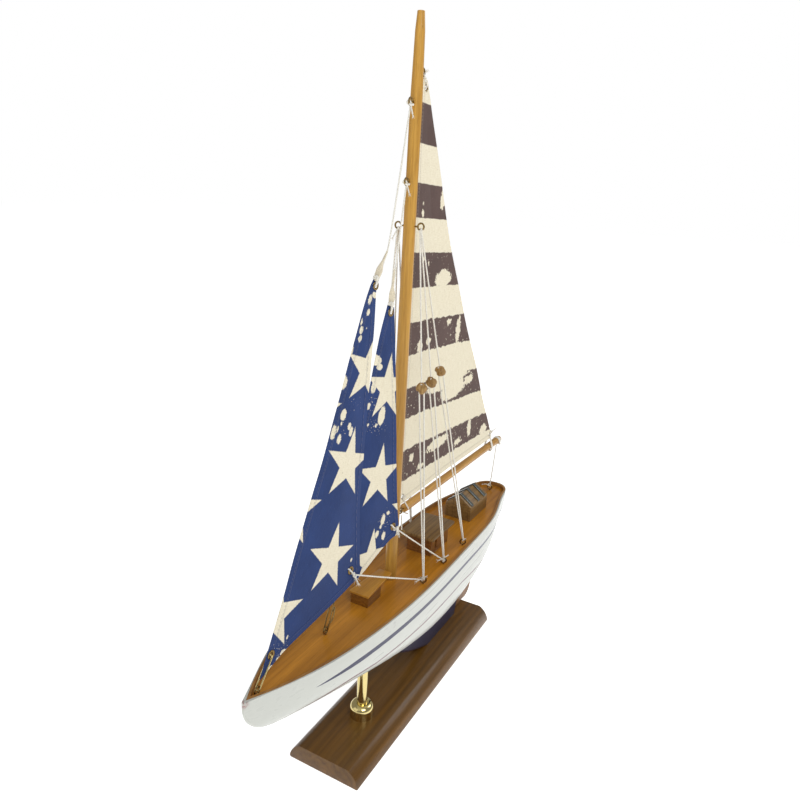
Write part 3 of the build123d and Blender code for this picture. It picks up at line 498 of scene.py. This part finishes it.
# ---------------------------------------------------------------- making pieces
def piece(name, bm, look, body, angle=35, parent=True):
    """Turns a bmesh in mm into a finished object riding on a body."""
    bmesh.ops.recalc_face_normals(bm, faces=bm.faces)
    bmesh.ops.scale(bm, vec=(MM, MM, MM), verts=bm.verts)
    name = name.replace(" ", "_")
    mesh = bpy.data.meshes.new(name)
    bm.to_mesh(mesh)
    bm.free()
    mesh.polygons.foreach_set("use_smooth", [True] * len(mesh.polygons))
    mesh.set_sharp_from_angle(angle=radians(angle))
    mesh.materials.append(finish[look])
    made = bpy.data.objects.new(name, mesh)
    bpy.context.collection.objects.link(made)
    if parent:
        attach(made, body)
    return made


def softened(node, name, look, width, body=HULL, segments=3):
    """A CAD node's shape with its sharp edges rounded."""
    bm = bmesh.new()
    bm.from_mesh(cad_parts[node].data)
    bmesh.ops.scale(bm, vec=(1000, 1000, 1000), verts=bm.verts)
    bmesh.ops.remove_doubles(bm, verts=bm.verts, dist=0.01)
    bmesh.ops.dissolve_limit(bm, angle_limit=radians(1), verts=bm.verts, edges=bm.edges)
    sharp = [
        edge for edge in bm.edges
        if len(edge.link_faces) == 2 and edge.calc_face_angle(0) > radians(30)]
    bmesh.ops.bevel(
        bm, geom=sharp, offset=width, offset_type="OFFSET", segments=segments, profile=0.5,
        affect="EDGES", clamp_overlap=True, material=-1,
    )
    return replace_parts(piece(name, bm, look, body), node)


def route(points, closed=False, step=0.9):
    """Evenly spaced points along a smooth curve led by points, in mm."""
    points = [Vector(p) for p in points]
    if len(points) == 2:
        points.insert(1, (points[0] + points[1]) / 2)
    data = bpy.data.curves.new("route", "CURVE")
    data.dimensions, data.resolution_u = "3D", 24
    spline = data.splines.new("NURBS")
    spline.points.add(len(points) - 1)
    for guide, at in zip(spline.points, points):
        guide.co = (*at, 1)
    spline.order_u = 3
    spline.use_endpoint_u = not closed
    spline.use_cyclic_u = closed
    holder = bpy.data.objects.new("route", data)
    bpy.context.collection.objects.link(holder)
    mesh = bpy.data.meshes.new_from_object(holder)
    line = [v.co.copy() for v in mesh.vertices]
    bpy.data.objects.remove(holder)
    bpy.data.curves.remove(data)
    bpy.data.meshes.remove(mesh)
    if closed:
        line.append(line[0].copy())
    total = sum((b - a).length for a, b in zip(line, line[1:]))
    count = max(4, ceil(total / step))
    even, gone, leg = [], 0.0, 0
    for k in range(count + 1):
        want = total * k / count
        while leg < len(line) - 2 and gone + (line[leg + 1] - line[leg]).length < want:
            gone += (line[leg + 1] - line[leg]).length
            leg += 1
        span = (line[leg + 1] - line[leg]).length or 1
        even.append(line[leg].lerp(line[leg + 1], min(1.0, (want - gone) / span)))
    return even


def lay(bm, line, radius, sides=9, lobes=3, pitch=4.2, depth=0.11, taper=None):
    """A tube along a line of points: a twisted cord with lobes, or a plain wire without."""
    ring = bmesh.ops.create_circle(bm, segments=sides, radius=1.0)["verts"]
    edges = list({edge for v in ring for edge in v.link_edges})
    rings = [list(ring)]
    for _ in line[1:]:
        grown = bmesh.ops.extrude_edge_only(bm, edges=edges)["geom"]
        edges = [g for g in grown if isinstance(g, bmesh.types.BMEdge)]
        rings.append([g for g in grown if isinstance(g, bmesh.types.BMVert)])
    side, far = None, 0.0
    for k, at in enumerate(line):
        ahead = (line[min(k + 1, len(line) - 1)] - line[max(k - 1, 0)]).normalized()
        if side is None:
            side = ahead.orthogonal().normalized()
        side = (side - ahead * side.dot(ahead)).normalized()
        other = ahead.cross(side)
        if k:
            far += (at - line[k - 1]).length
        share = k / (len(line) - 1)
        reach = radius * (taper(share) if taper else 1.0)
        for v in rings[k]:
            turn = atan2(v.co.y, v.co.x)
            swell = 1 + depth * cos(lobes * (turn - tau * far / pitch)) if lobes else 1.0
            v.co = at + (side * cos(turn) + other * sin(turn)) * reach * swell
    for end in (rings[0], rings[-1]):
        rim = {edge for v in end for edge in v.link_edges if len(edge.link_faces) == 1}
        bmesh.ops.edgeloop_fill(bm, edges=list(rim))
    return bm


def tied(name, bm, body):
    """Knots, ties and lashings of rigging cord, as a piece."""
    return piece(name, bm, "cotton_line", body, 80)


def cord_piece(name, points, node, blend=None):
    """A rigging cord, made as a piece.

    It rides on the hull unless blend is given; then it has no parent and its placement is baked in.
    The body, start and end in blend are not used.
    """
    line = route(points)
    bm = lay(bmesh.new(), line, CORD)
    made = piece(name, bm, "cotton_line", HULL, 80, parent=blend is None)
    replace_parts(made, node)
    if blend:
        blend[1] * MM
        blend[2] * MM
        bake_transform(made)
    reach = sum((b - a).length for a, b in zip(line, line[1:]))
    line[0] * MM
    [p * MM for p in line]
    return made


def knot(bm, at, size=0.62, wire=0.55, lean=0.0):
    """An overhand knot drawn tight."""
    at = Vector(at)
    turn = Matrix.Rotation(lean, 3, "Z") @ Matrix.Rotation(lean * 1.7, 3, "X")
    loop = []
    for k in range(30):
        t = tau * k / 29
        trefoil = Vector((sin(t) + 2 * sin(2 * t), cos(t) - 2 * cos(2 * t), -sin(3 * t)))
        loop.append(at + turn @ trefoil * size * 0.62)
    lay(bm, loop, wire, sides=7, lobes=0)


def fray(bm, at, toward, length, count=9, spread=0.35):
    """Loose fibres at a cut end."""
    at, toward = Vector(at), Vector(toward).normalized()
    for _ in range(count):
        aim = (toward + Vector([rng.uniform(-spread, spread) for _ in range(3)])).normalized()
        reach = length * rng.uniform(0.6, 1.0)
        bend = Vector([rng.uniform(-0.25, 0.25) for _ in range(3)]) * reach
        line = route(
            [at, at + aim * reach * 0.5 + bend * 0.5, at + aim * reach + bend], step=reach / 5)
        lay(bm, line, 0.16, sides=4, lobes=0, taper=lambda share: 1 - 0.6 * share)


def tail(bm, at, toward, length, hang=0.5):
    """A short cord end with its fibres coming loose."""
    at, toward = Vector(at), Vector(toward).normalized()
    tip = at + toward * length - Vector((0, 0, hang * length * 0.4))
    lay(bm, route([at, at + toward * length * 0.55, tip], step=0.8), 0.5)
    fray(bm, tip, tip - at - toward * length * 0.3, length * 0.55)


# ---------------------------------------------------------------- sails
def sail_axes(tack, head, swing):
    """Matrix from a headsail's flat cloth to the row frame, its X across and its Y up the luff."""
    luff = (Vector(head) - Vector(tack)).normalized()
    aft = luff.cross(Vector((0, -1, 0))).normalized()
    if aft.x > 0:
        aft = -aft
    across = aft * cos(radians(swing)) + Vector((0, 1, 0)) * sin(radians(swing))
    axes = Matrix((across, luff, across.cross(luff))).transposed().to_4x4()
    return Matrix.Translation(Vector(tack)) @ axes


MAIN_AXES = Matrix(((1, 0, 0, 0), (0, 0, -1, 0), (0, 1, 0, 0), (0, 0, 0, 1)))


def along_curve(points, share):
    """A point at a share of the length of a Catmull-Rom curve through points."""
    points = [Vector((*p, 0)) for p in points]
    spans = [(b - a).length for a, b in zip(points, points[1:])]
    want, k = share * sum(spans), 0
    while k < len(spans) - 1 and want > spans[k]:
        want -= spans[k]
        k += 1
    t = want / spans[k]
    a, b = points[k], points[k + 1]
    start = stop = (b - a) / spans[k]
    if k:
        start = (b - points[k - 1]) / (spans[k] + spans[k - 1])
    if k < len(spans) - 1:
        stop = (points[k + 2] - a) / (spans[k] + spans[k + 1])
    start, stop = start * spans[k], stop * spans[k]
    return (
        a * (2 * t**3 - 3 * t**2 + 1) + start * (t**3 - 2 * t**2 + t)
        + b * (3 * t**2 - 2 * t**3) + stop * (t**3 - t**2)
    )


def edge_gap(at, border):
    """Distance from a point of the cloth to a line of points along its edge."""
    best = 1e9
    for a, b in zip(border, border[1:]):
        run = b - a
        t = max(0.0, min(1.0, (at - a).dot(run) / max(run.length_squared, 1e-9)))
        best = min(best, (at - a - run * t).length)
    return best


def sail(name, look, node, body, axes, edges, holes, grid, belly, hem_sides):
    """A sail woven flat between its edges, holed for its eyelets, then filled by the wind."""
    luff, leech, foot, head = edges
    columns, rows = grid
    bm = bmesh.new()
    bmesh.ops.create_grid(bm, x_segments=columns, y_segments=rows, size=0.5)
    for v in bm.verts:
        u, w = v.co.x + 0.5, v.co.y + 0.5
        low, high = along_curve(foot, u), along_curve(head, u)
        left, far = along_curve(luff, w), along_curve(leech, w)
        corners = (
            along_curve(foot, 0) * (1 - u) * (1 - w) + along_curve(foot, 1) * u * (1 - w)
            + along_curve(head, 0) * (1 - u) * w + along_curve(head, 1) * u * w
        )
        v.co = low * (1 - w) + high * w + left * (1 - u) + far * u - corners
    for x, y in holes:
        centre = Vector((x, y, 0))
        near = [edge for edge in bm.edges if all((v.co - centre).length < 7 for v in edge.verts)]
        bmesh.ops.subdivide_edges(bm, edges=near, cuts=3, use_grid_fill=True)
        gone = [f for f in bm.faces if all((v.co - centre).length < HOLE for v in f.verts)]
        bmesh.ops.delete(bm, geom=gone, context="FACES")
    hems = [[along_curve(c, k / 24) for k in range(25)] for c in hem_sides]
    uv = bm.loops.layers.uv.new("cloth")
    gap = bm.verts.layers.float.new("hem")
    for v in bm.verts:
        v[gap] = min(edge_gap(v.co, hem) for hem in hems) / 100
    for face in bm.faces:
        for loop in face.loops:
            loop[uv].uv = loop.vert.co.xy / 100
    corners = [Vector((*p, 0)) for p in (foot[0], foot[-1], head[-1], head[0], foot[0])]
    for v in bm.verts:
        at = v.co.copy()
        hold = min(1.0, min((at - Vector((x, y, 0))).length for x, y in holes) / 40)
        edge = min(1.0, edge_gap(at, corners) / 30)
        ripple = sin(at.y / 19 + at.x / 31) * 0.35 + sin(at.y / 7.3 - at.x / 12) * 0.1
        at.z = (belly * edge + ripple) * hold
        v.co = axes @ at
    bmesh.ops.recalc_face_normals(bm, faces=bm.faces)
    bmesh.ops.solidify(bm, geom=list(bm.faces), thickness=CLOTH)
    made = piece(name, bm, look, body, 60)
    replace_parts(made, node)
    return made


def flat_area(luff, leech, foot, head):
    """Area of a sail's flat cloth in square metres."""
    round_it = (foot, leech, head[::-1], luff[::-1])
    loop = [along_curve(c, k / 24) for c in round_it for k in range(24)]
    twice = sum(a.x * b.y - b.x * a.y for a, b in zip(loop, loop[1:] + loop[:1]))
    return abs(twice) / 2 * MM * MM


def eyelets(name, node, body, axes, places):
    """Rolled brass eyelets through a sail."""
    bm = bmesh.new()
    for x, y in places:
        profile = bmesh.ops.create_circle(bm, segments=10, radius=0.5)["verts"]
        bmesh.ops.scale(bm, vec=(1.75, 0.85, 1), verts=profile)
        quarter = Matrix.Rotation(pi / 2, 3, "X")
        bmesh.ops.rotate(bm, cent=(0, 0, 0), matrix=quarter, verts=profile)
        bmesh.ops.translate(bm, vec=(2.4, 0, 0.35), verts=profile)
        bmesh.ops.spin(
            bm, geom=list(profile) + list({edge for v in profile for edge in v.link_edges}),
            axis=(0, 0, 1), cent=(0, 0, 0), angle=tau, steps=28, use_merge=True)
        for v in bm.verts:
            if not v.tag:
                v.co = axes @ (v.co + Vector((x, y, 0)))
                v.tag = True
    made = piece(name, bm, "aged_brass", body, 80)
    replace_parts(made, node)
    return made


# ---------------------------------------------------------------- eyelets and sails
outer_axes = sail_axes(OUTER_TACK, OUTER_HEAD, OUTER_SWING)
inner_axes = sail_axes(INNER_TACK, INNER_HEAD, INNER_SWING)
OUTER_LUFF = [(0, 0), (0, 140), (-0.6, 205), (-2.6, 252), (-1.8, 272), (0, 280)]
INNER_LUFF = [(0, 0), (-1.4, 70), (-3.0, 150), (-3.2, 200), (-1.4, 226)]
MAIN_LUFF = [(19, 192.5), (17.1, 358), (15.2, 523.5)]
OUTER_EDGES = (OUTER_LUFF, OUTER_LEECH, OUTER_FOOT, [(0, 280), (3, 280)])
INNER_EDGES = (INNER_LUFF, INNER_LEECH, INNER_FOOT, [(-1.4, 226), (6.5, 226)])
MAIN_EDGES = (MAIN_LUFF, MAIN_LEECH, MAIN_FOOT, [(15.2, 523.5), (7, 523.5)])

outer_rings = eyelets(
    "outer jib eyelets", "outer_jib_grommets", OUTER_JIB, outer_axes, OUTER_EYELETS)
inner_rings = eyelets(
    "inner jib eyelets", "inner_jib_grommets", INNER_JIB, inner_axes, INNER_EYELETS)
main_rings = eyelets(
    "mainsail eyelets", "mainsail_grommets", SAIL_AND_BOOM, MAIN_AXES, MAIN_EYELETS)

outer_jib = sail(
    "outer jib", "outer_canvas", "outer_jib", OUTER_JIB, outer_axes, OUTER_EDGES,
    OUTER_EYELETS, grid=(40, 120), belly=1.2, hem_sides=(OUTER_LUFF, OUTER_LEECH, OUTER_FOOT))
inner_jib = sail(
    "inner jib", "inner_canvas", "inner_jib", INNER_JIB, inner_axes, INNER_EDGES,
    INNER_EYELETS, grid=(40, 110), belly=1.0, hem_sides=(INNER_LUFF, INNER_LEECH, INNER_FOOT))
mainsail = sail(
    "mainsail", "main_canvas", "mainsail", SAIL_AND_BOOM, MAIN_AXES, MAIN_EDGES,
    MAIN_EYELETS, grid=(80, 120), belly=1.4, hem_sides=(MAIN_LUFF, MAIN_FOOT))


# ---------------------------------------------------------------- jib heads
def cloth_tail(name, body, points, wide):
    """The strip of cloth twisted out of a jib's head."""
    def thick(share):
        return (0.75 + 0.5 * sin(pi * min(1, share * 1.6))) * (1 - share) ** 0.7 + 0.08

    bm = lay(
        bmesh.new(), route(points, step=0.7), wide, sides=12, lobes=2, pitch=34, depth=0.3,
        taper=thick)
    return piece(name, bm, "plain_canvas", body, 80)


outer_tail = cloth_tail("outer jib head tail", OUTER_JIB, [
    (70.4, 0.4, 386.0), (68.6, 1.0, 389.5), (65.8, 1.2, 394.0), (61.0, 0.5, 399.4),
    (56.0, 0.2, 404.0), (52.6, 0.2, 408.2)], 1.75)
inner_tail = cloth_tail("inner jib head tail", INNER_JIB, [
    (48.4, 0.6, 366), (47.8, 1.6, 370), (47.6, 1.5, 377), (45.4, 0.8, 385), (43.6, 0.4, 392)],
    1.7)

for name, body, axes, place, base in (
    ("outer head tie", OUTER_JIB, outer_axes, OUTER_EYELETS[0], (70.0, 0.8, 388.6)),
    ("inner head tie", INNER_JIB, inner_axes, INNER_EYELETS[0], (48.2, 1.0, 367.6)),
):
    tie = bmesh.new()
    hole, base = axes @ Vector((*place, 0)), Vector(base)
    for k in (-1, 1):
        side = Vector((0.9 * k, 1.1, 0))
        lay(tie, route([
            hole + Vector((0, 0.2, -0.6)), hole.lerp(base, 0.45) + side,
            base + side * 1.3 + Vector((0, 0.4, 0))], step=0.6), CORD)
    for lift in (-0.7, 0.5):
        loop = [
            base + Vector((2.3 * cos(a), 1.9 * sin(a), lift + 0.3 * sin(2 * a)))
            for a in (0, 1.05, 2.1, 3.14, 4.2, 5.25)]
        lay(tie, route(loop, closed=True, step=0.6), 0.5)
    knot(tie, base + Vector((1.6, 1.8, 0.2)), size=0.9, wire=0.5, lean=1.1)
    tied(name, tie, body)

for cloth, wide, tall, edges, rests, extra in (
    (outer_jib, 85, 280, OUTER_EDGES, ["bow_eye", "outer_halyard"], [outer_rings, outer_tail]),
    (inner_jib, 75, 226, INNER_EDGES, ["jib_tack_eye", "inner_halyard"],
     [inner_rings, inner_tail]),
    (mainsail, 206.5, 331, MAIN_EDGES, ["boom", "mast"], [main_rings]),
):
    wide * MM
    tall * MM
    flat_area(*edges)


# ---------------------------------------------------------------- standing rigging
def bean(bm, middle, rise, wing, face, turn):
    """A small carved wooden toggle with a groove round its waist and one over its back."""
    made = bmesh.ops.create_icosphere(bm, subdivisions=3, radius=1.0)["verts"]
    spin = Matrix.Rotation(turn, 3, "Z")
    for v in made:
        p = v.co.copy()
        waist = 1 - 0.38 * exp(-((p.y / 0.2) ** 2)) * (1 if p.z > 0 else 0.4)
        back = 1 - 0.2 * exp(-((p.x / 0.22) ** 2)) * (1 if p.z < 0.2 else 0.3)
        p = spin @ Vector((p.x * 4.9 * waist, p.y * 4.8 * back, p.z * 3.2 * waist * back))
        v.co = middle + wing * p.x + rise * p.y + face * p.z


ties, beans = bmesh.new(), bmesh.new()
for side in (1, -1):
    hand = "port" if side > 0 else "starboard"
    for place, x in enumerate(CHAINPLATE_X):
        top = Vector((23.17 + (1 - place) * 1.0, side * SHROUD_EYE_Y, 419.5))
        foot = Vector((x, side * CHAINPLATE_Y, deck_z(x) + 6.2))
        rise = (top - foot).normalized()
        face = (Vector((1, 0, 0)) - rise * rise.x).normalized()
        wing = rise.cross(face)
        middle = top.lerp(foot, DEADEYE_FALL[place])
        bean(beans, middle, rise, wing, face, (0.9, -0.5, 0.35)[place] * side)
        cord_piece(
            f"{hand} shroud {place + 1}",
            [top, top.lerp(middle, 0.5) + Vector((0.5, 0.25 * side, 0)), middle + rise * 2.0],
            "upper_shrouds")
        for hole in (-1, 1):
            low = middle + wing * 2.1 * hole - rise * 2.2
            end = foot + wing * 0.35 * hole
            cord_piece(
                f"{hand} lanyard {place + 1}{'a' if hole < 0 else 'b'}",
                [low, low.lerp(end, 0.55) + wing * 0.5 * hole, end], "lanyards")
        knot(ties, middle + rise * 3.2 + face * 0.8, size=0.6, wire=0.5, lean=rng.uniform(0, 3))
        knot(ties, foot - rise * 0.6, size=0.75, wire=0.55, lean=rng.uniform(0, 3))
        lead = (rng.uniform(-1, 0.2), 0.5 * side, 0.5)
        tail(ties, foot - rise * 0.3, lead, rng.uniform(2.5, 5))
    head = Vector((23.17, side * SHROUD_EYE_Y, 419.6))
    knot(ties, head, size=0.9, wire=0.6, lean=0.7)
    tail(ties, head, (0.5, 0.5 * side, -1), 6)
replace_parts(tied("shroud knots", ties, HULL), "lanyards")

toggles = piece("toggles", beans, "bead_wood", HULL, 80)
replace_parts(toggles, "deadeyes")

# ---------------------------------------------------------------- running rigging
loose = bmesh.new()
cord_piece(
    "inner halyard", [(30.87, 0, 450.8), (39.2, 0.4, 410), (46, 0.3, 367.2)], "inner_halyard")
cord_piece("outer halyard", [
    (30.02, 0, 504), (42.2, 0.2, 452), (52.2, 0.1, 410.4), (57.0, 0.1, 400), (66.2, 0, 389)],
    "outer_halyard")
for at, aim, reach in (((30.3, 0, 505), (0.4, 0.6, -1), 7), ((31, 0, 452), (0.5, 0.7, -0.8), 7)):
    knot(loose, at, size=1.35, wire=0.72, lean=reach)
    tail(loose, at, aim, reach)

for word, body, axes, clew, eye, drop, swell in (
    ("outer", OUTER_JIB, outer_axes, OUTER_EYELETS[2], (20.5, 28, 128.87), 4.2, 6),
    ("inner", INNER_JIB, inner_axes, INNER_EYELETS[2], (-19, 28, 128.35), 2.2, 5),
):
    clew, eye = axes @ Vector((*clew, 0)), Vector(eye) + Vector((0, 0, 2.6))
    stop = clew + Vector((-2.2, 1.8, -drop))
    aim = (stop - eye).normalized()
    cord_piece(
        f"{word} jib sheet", [eye, eye.lerp(stop, 0.5) - Vector((0, 0, 0.8)), stop],
        f"{word}_jib_sheet", blend=(body, eye + aim * 8, stop - aim * 4))
    knot(loose, eye, size=0.8, wire=0.55, lean=swell)
    tail(loose, eye + Vector((0, 0, 0.6)), (aim.x, aim.y, 0.35), swell + 2)
    fray(loose, eye + Vector((0, 0, 0.8)), (aim.x, aim.y, 0.8), swell, 8)
    bend = bmesh.new()
    ring = [clew + Vector(v) for v in (
        (0, 0.9, -1.0), (1.6, 1.4, 1.2), (3.2, 0, 3.0), (1.2, -1.4, 1.0))]
    lay(bend, route(ring, closed=True, step=0.6), CORD)
    for k in (-1, 1):
        lay(bend, route([
            clew + Vector((0, 0.6 * k, -0.6)),
            clew.lerp(stop, 0.5) + Vector((0.5 * k, 0.9 * k, 0)), stop], step=0.6), CORD)
    knot(bend, stop, size=1.15, wire=0.62, lean=1 + swell)
    tail(bend, stop + Vector((0, 0.4, -0.6)), (-0.35, 0.4, -1), swell)
    fray(bend, stop + Vector((0, 0.4, -1.0)), (-0.2, 0.4, -1), swell * 1.3, 12, 0.25)
    tied(f"{word} sheet knot", bend, body)

stern = Vector((-197, 0, 131.04))
aft = Vector((-206, 0, 177.6))
cord_piece(
    "mainsheet", [stern, stern.lerp(aft, 0.5) + Vector((0, 0.3, 0)), aft], "mainsheet",
    blend=(SAIL_AND_BOOM, stern + Vector((0, 0, 6)), aft - Vector((0, 0, 6))))
knot(loose, stern + Vector((0, -0.8, -0.4)), size=0.95, wire=0.6, lean=2)
tail(loose, stern + Vector((0, -1, -0.4)), (0.2, -1, 0.2), 6)
lay(loose, route([(19, 3.9, 170.5), (17, 2.8, 176), (14.6, 0.9, 181.9)]), CORD)
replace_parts(tied("rigging knots", loose, HULL), "tack_line")


# ---------------------------------------------------------------- lashings on the boom
def boom_at(x):
    """The middle of the boom at a place along the hull."""
    return BOOM_FRONT.lerp(BOOM_END, (BOOM_FRONT.x - x) / (BOOM_FRONT.x - BOOM_END.x))


def turns(bm, x_low, x_high, top, count):
    """Cord wound round the boom and up through an eyelet."""
    radius, advance, loop = BOOM_RADIUS + CORD, 1.3, []
    for k in range(count):
        step = advance * (k - (count - 1) / 2)
        high = Vector((x_high + step * 0.3, 0, top))
        for y, z, lift in (
            (radius * 1.06, 0.6, 0), (1.7, 0, 0.62), (0, 0, 1.0), (-1.7, 0, 0.62),
            (-radius * 1.06, 0.6, 0), (-radius, -radius, 0), (radius, -radius, 0)):
            at = Vector((x_low + step, 0, boom_at(x_low).z + z)).lerp(high, lift)
            at.y = y
            loop.append(at)
    lay(bm, route(loop, step=0.7), CORD * 0.95)


bound = bmesh.new()
turns(bound, -181, -181, 197.6, 3)
turns(bound, 9.2, 13.1, 198.0, 1)
knot(bound, (-182, 1.4, 199.6), size=0.9, wire=0.6, lean=1.2)
knot(bound, (12.4, 1.2, 198.6), size=0.75, wire=0.5, lean=2.2)
tail(bound, (-182, 1.6, 199.6), (-0.6, 0.6, 0.8), 5)
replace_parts(tied("boom lashings", bound, SAIL_AND_BOOM), "clew_lashing", "tack_lashing")

whip = bmesh.new()
spiral = []
for k in range(34):
    t = k / 8
    centre = boom_at(-203 - t * 1.15)
    spiral.append(centre + Vector((0, cos(tau * t), sin(tau * t))) * (BOOM_RADIUS + CORD * 0.9))
lay(whip, route(spiral, step=0.7), CORD)
knot(whip, spiral[0] + Vector((0, 0, -2)), size=0.9, wire=0.6, lean=1)
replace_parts(tied("mainsheet whipping", whip, SAIL_AND_BOOM), "boom_whipping")

crown = bmesh.new()
eye, hole = Vector((13.78, 0, 526.0)), Vector((8, 0, 518))
for k in (-1, 1):
    lay(crown, route([
        eye + Vector((0, 0.8 * k, 0)), eye.lerp(hole, 0.5) + Vector((-0.8 * k, 1.4 * k, 0.6)),
        hole + Vector((0, 0.9 * k, -0.2)), hole + Vector((0.6, 0, -0.4))], step=0.6), 0.5)
knot(crown, eye.lerp(hole, 0.35), size=1.0, wire=0.55, lean=1.3)
fray(crown, eye + Vector((-0.5, 1.0, 0.6)), (-0.4, 0.6, 0.9), 5, 10)
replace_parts(tied("head lashing", crown, SAIL_AND_BOOM), "head_lashing")

# The end of the wire left standing at the inner jib's tack.
hook = bmesh.new()
lay(hook, route([
    (121.8, 0.4, 136), (119.0, 1.5, 137.4), (116.0, 1.6, 141), (113.2, 0.6, 145.2),
    (111.8, -0.6, 146.0), (112.2, -1.2, 143.8), (114.0, -0.6, 143.0)], step=0.6),
    0.5, sides=8, lobes=0)
piece("spare wire end", hook, "aged_brass", HULL, 80)

# ---------------------------------------------------------------- wooden pieces with eased edges
softened("base_board", "base board", "base_wood", 0.7)
softened("foredeck_box", "foredeck house", "house_wood", 0.35)
softened("foredeck_hatch", "foredeck hatch slab", "hatch_wood", 0.4)
softened("cabin_block", "cabin sides", "cabin_wood", 0.3)
softened("cabin_roof", "cabin roof slab", "roof_wood", 0.5)
softened("skylight_body", "skylight house", "roof_wood", 0.4)
softened("skylight_bars", "skylight glazing bars", "slate_paint", 0.2, segments=2)

# ---------------------------------------------------------------- floor, lights
floor_finish = Finish(
    "pale floor", Base_Color=(0.9, 0.9, 0.9, 1), Roughness=0.8, Specular_IOR_Level=0.1,
    Emission_Color=(1, 1, 1, 1), Emission_Strength=0.74)
floor_mesh = bpy.data.meshes.new("floor")
floor_bm = bmesh.new()
bmesh.ops.create_grid(floor_bm, x_segments=1, y_segments=1, size=8)
floor_bm.to_mesh(floor_mesh)
floor_bm.free()
floor_mesh.materials.append(floor_finish.material)
floor = bpy.data.objects.new("floor", floor_mesh)
bpy.context.collection.objects.link(floor)

# The studio is plain white where it is seen and dimmer as a light.
SKY_LIGHT = 0.3
world = bpy.data.worlds.new("studio")
world.use_nodes = True
sky = world.node_tree.nodes["Background"]
seen = world.node_tree.nodes.new("ShaderNodeLightPath")
level = world.node_tree.nodes.new("ShaderNodeMapRange")
world.node_tree.links.new(seen.outputs["Is Camera Ray"], level.inputs["Value"])
level.inputs["To Min"].default_value = SKY_LIGHT
level.inputs["To Max"].default_value = 1.0
world.node_tree.links.new(level.outputs["Result"], sky.inputs["Strength"])
sky.inputs["Color"].default_value = (1, 1, 1, 1)
bpy.context.scene.world = world


def lamp(name, at, aim, size, power):
    """A square lamp, placed in metres, with its power in watts."""
    data = bpy.data.lights.new(name, "AREA")
    data.size, data.energy = size, power
    made = bpy.data.objects.new(name, data)
    facing = (Vector(aim) - Vector(at)).to_track_quat("-Z", "Y").to_matrix().to_4x4()
    made.matrix_world = Matrix.Translation(Vector(at)) @ facing
    bpy.context.collection.objects.link(made)


lamp("key light", (0.9, 1.1, 1.5), (0, 0, 0.2), 1.0, 13)
lamp("fill light", (1.4, -0.9, 0.9), (0, 0, 0.25), 1.4, 4)
lamp("back light", (-1.2, 0.9, 1.4), (0, 0, 0.15), 0.9, 8)
bpy.context.scene.view_settings.view_transform = "Standard"
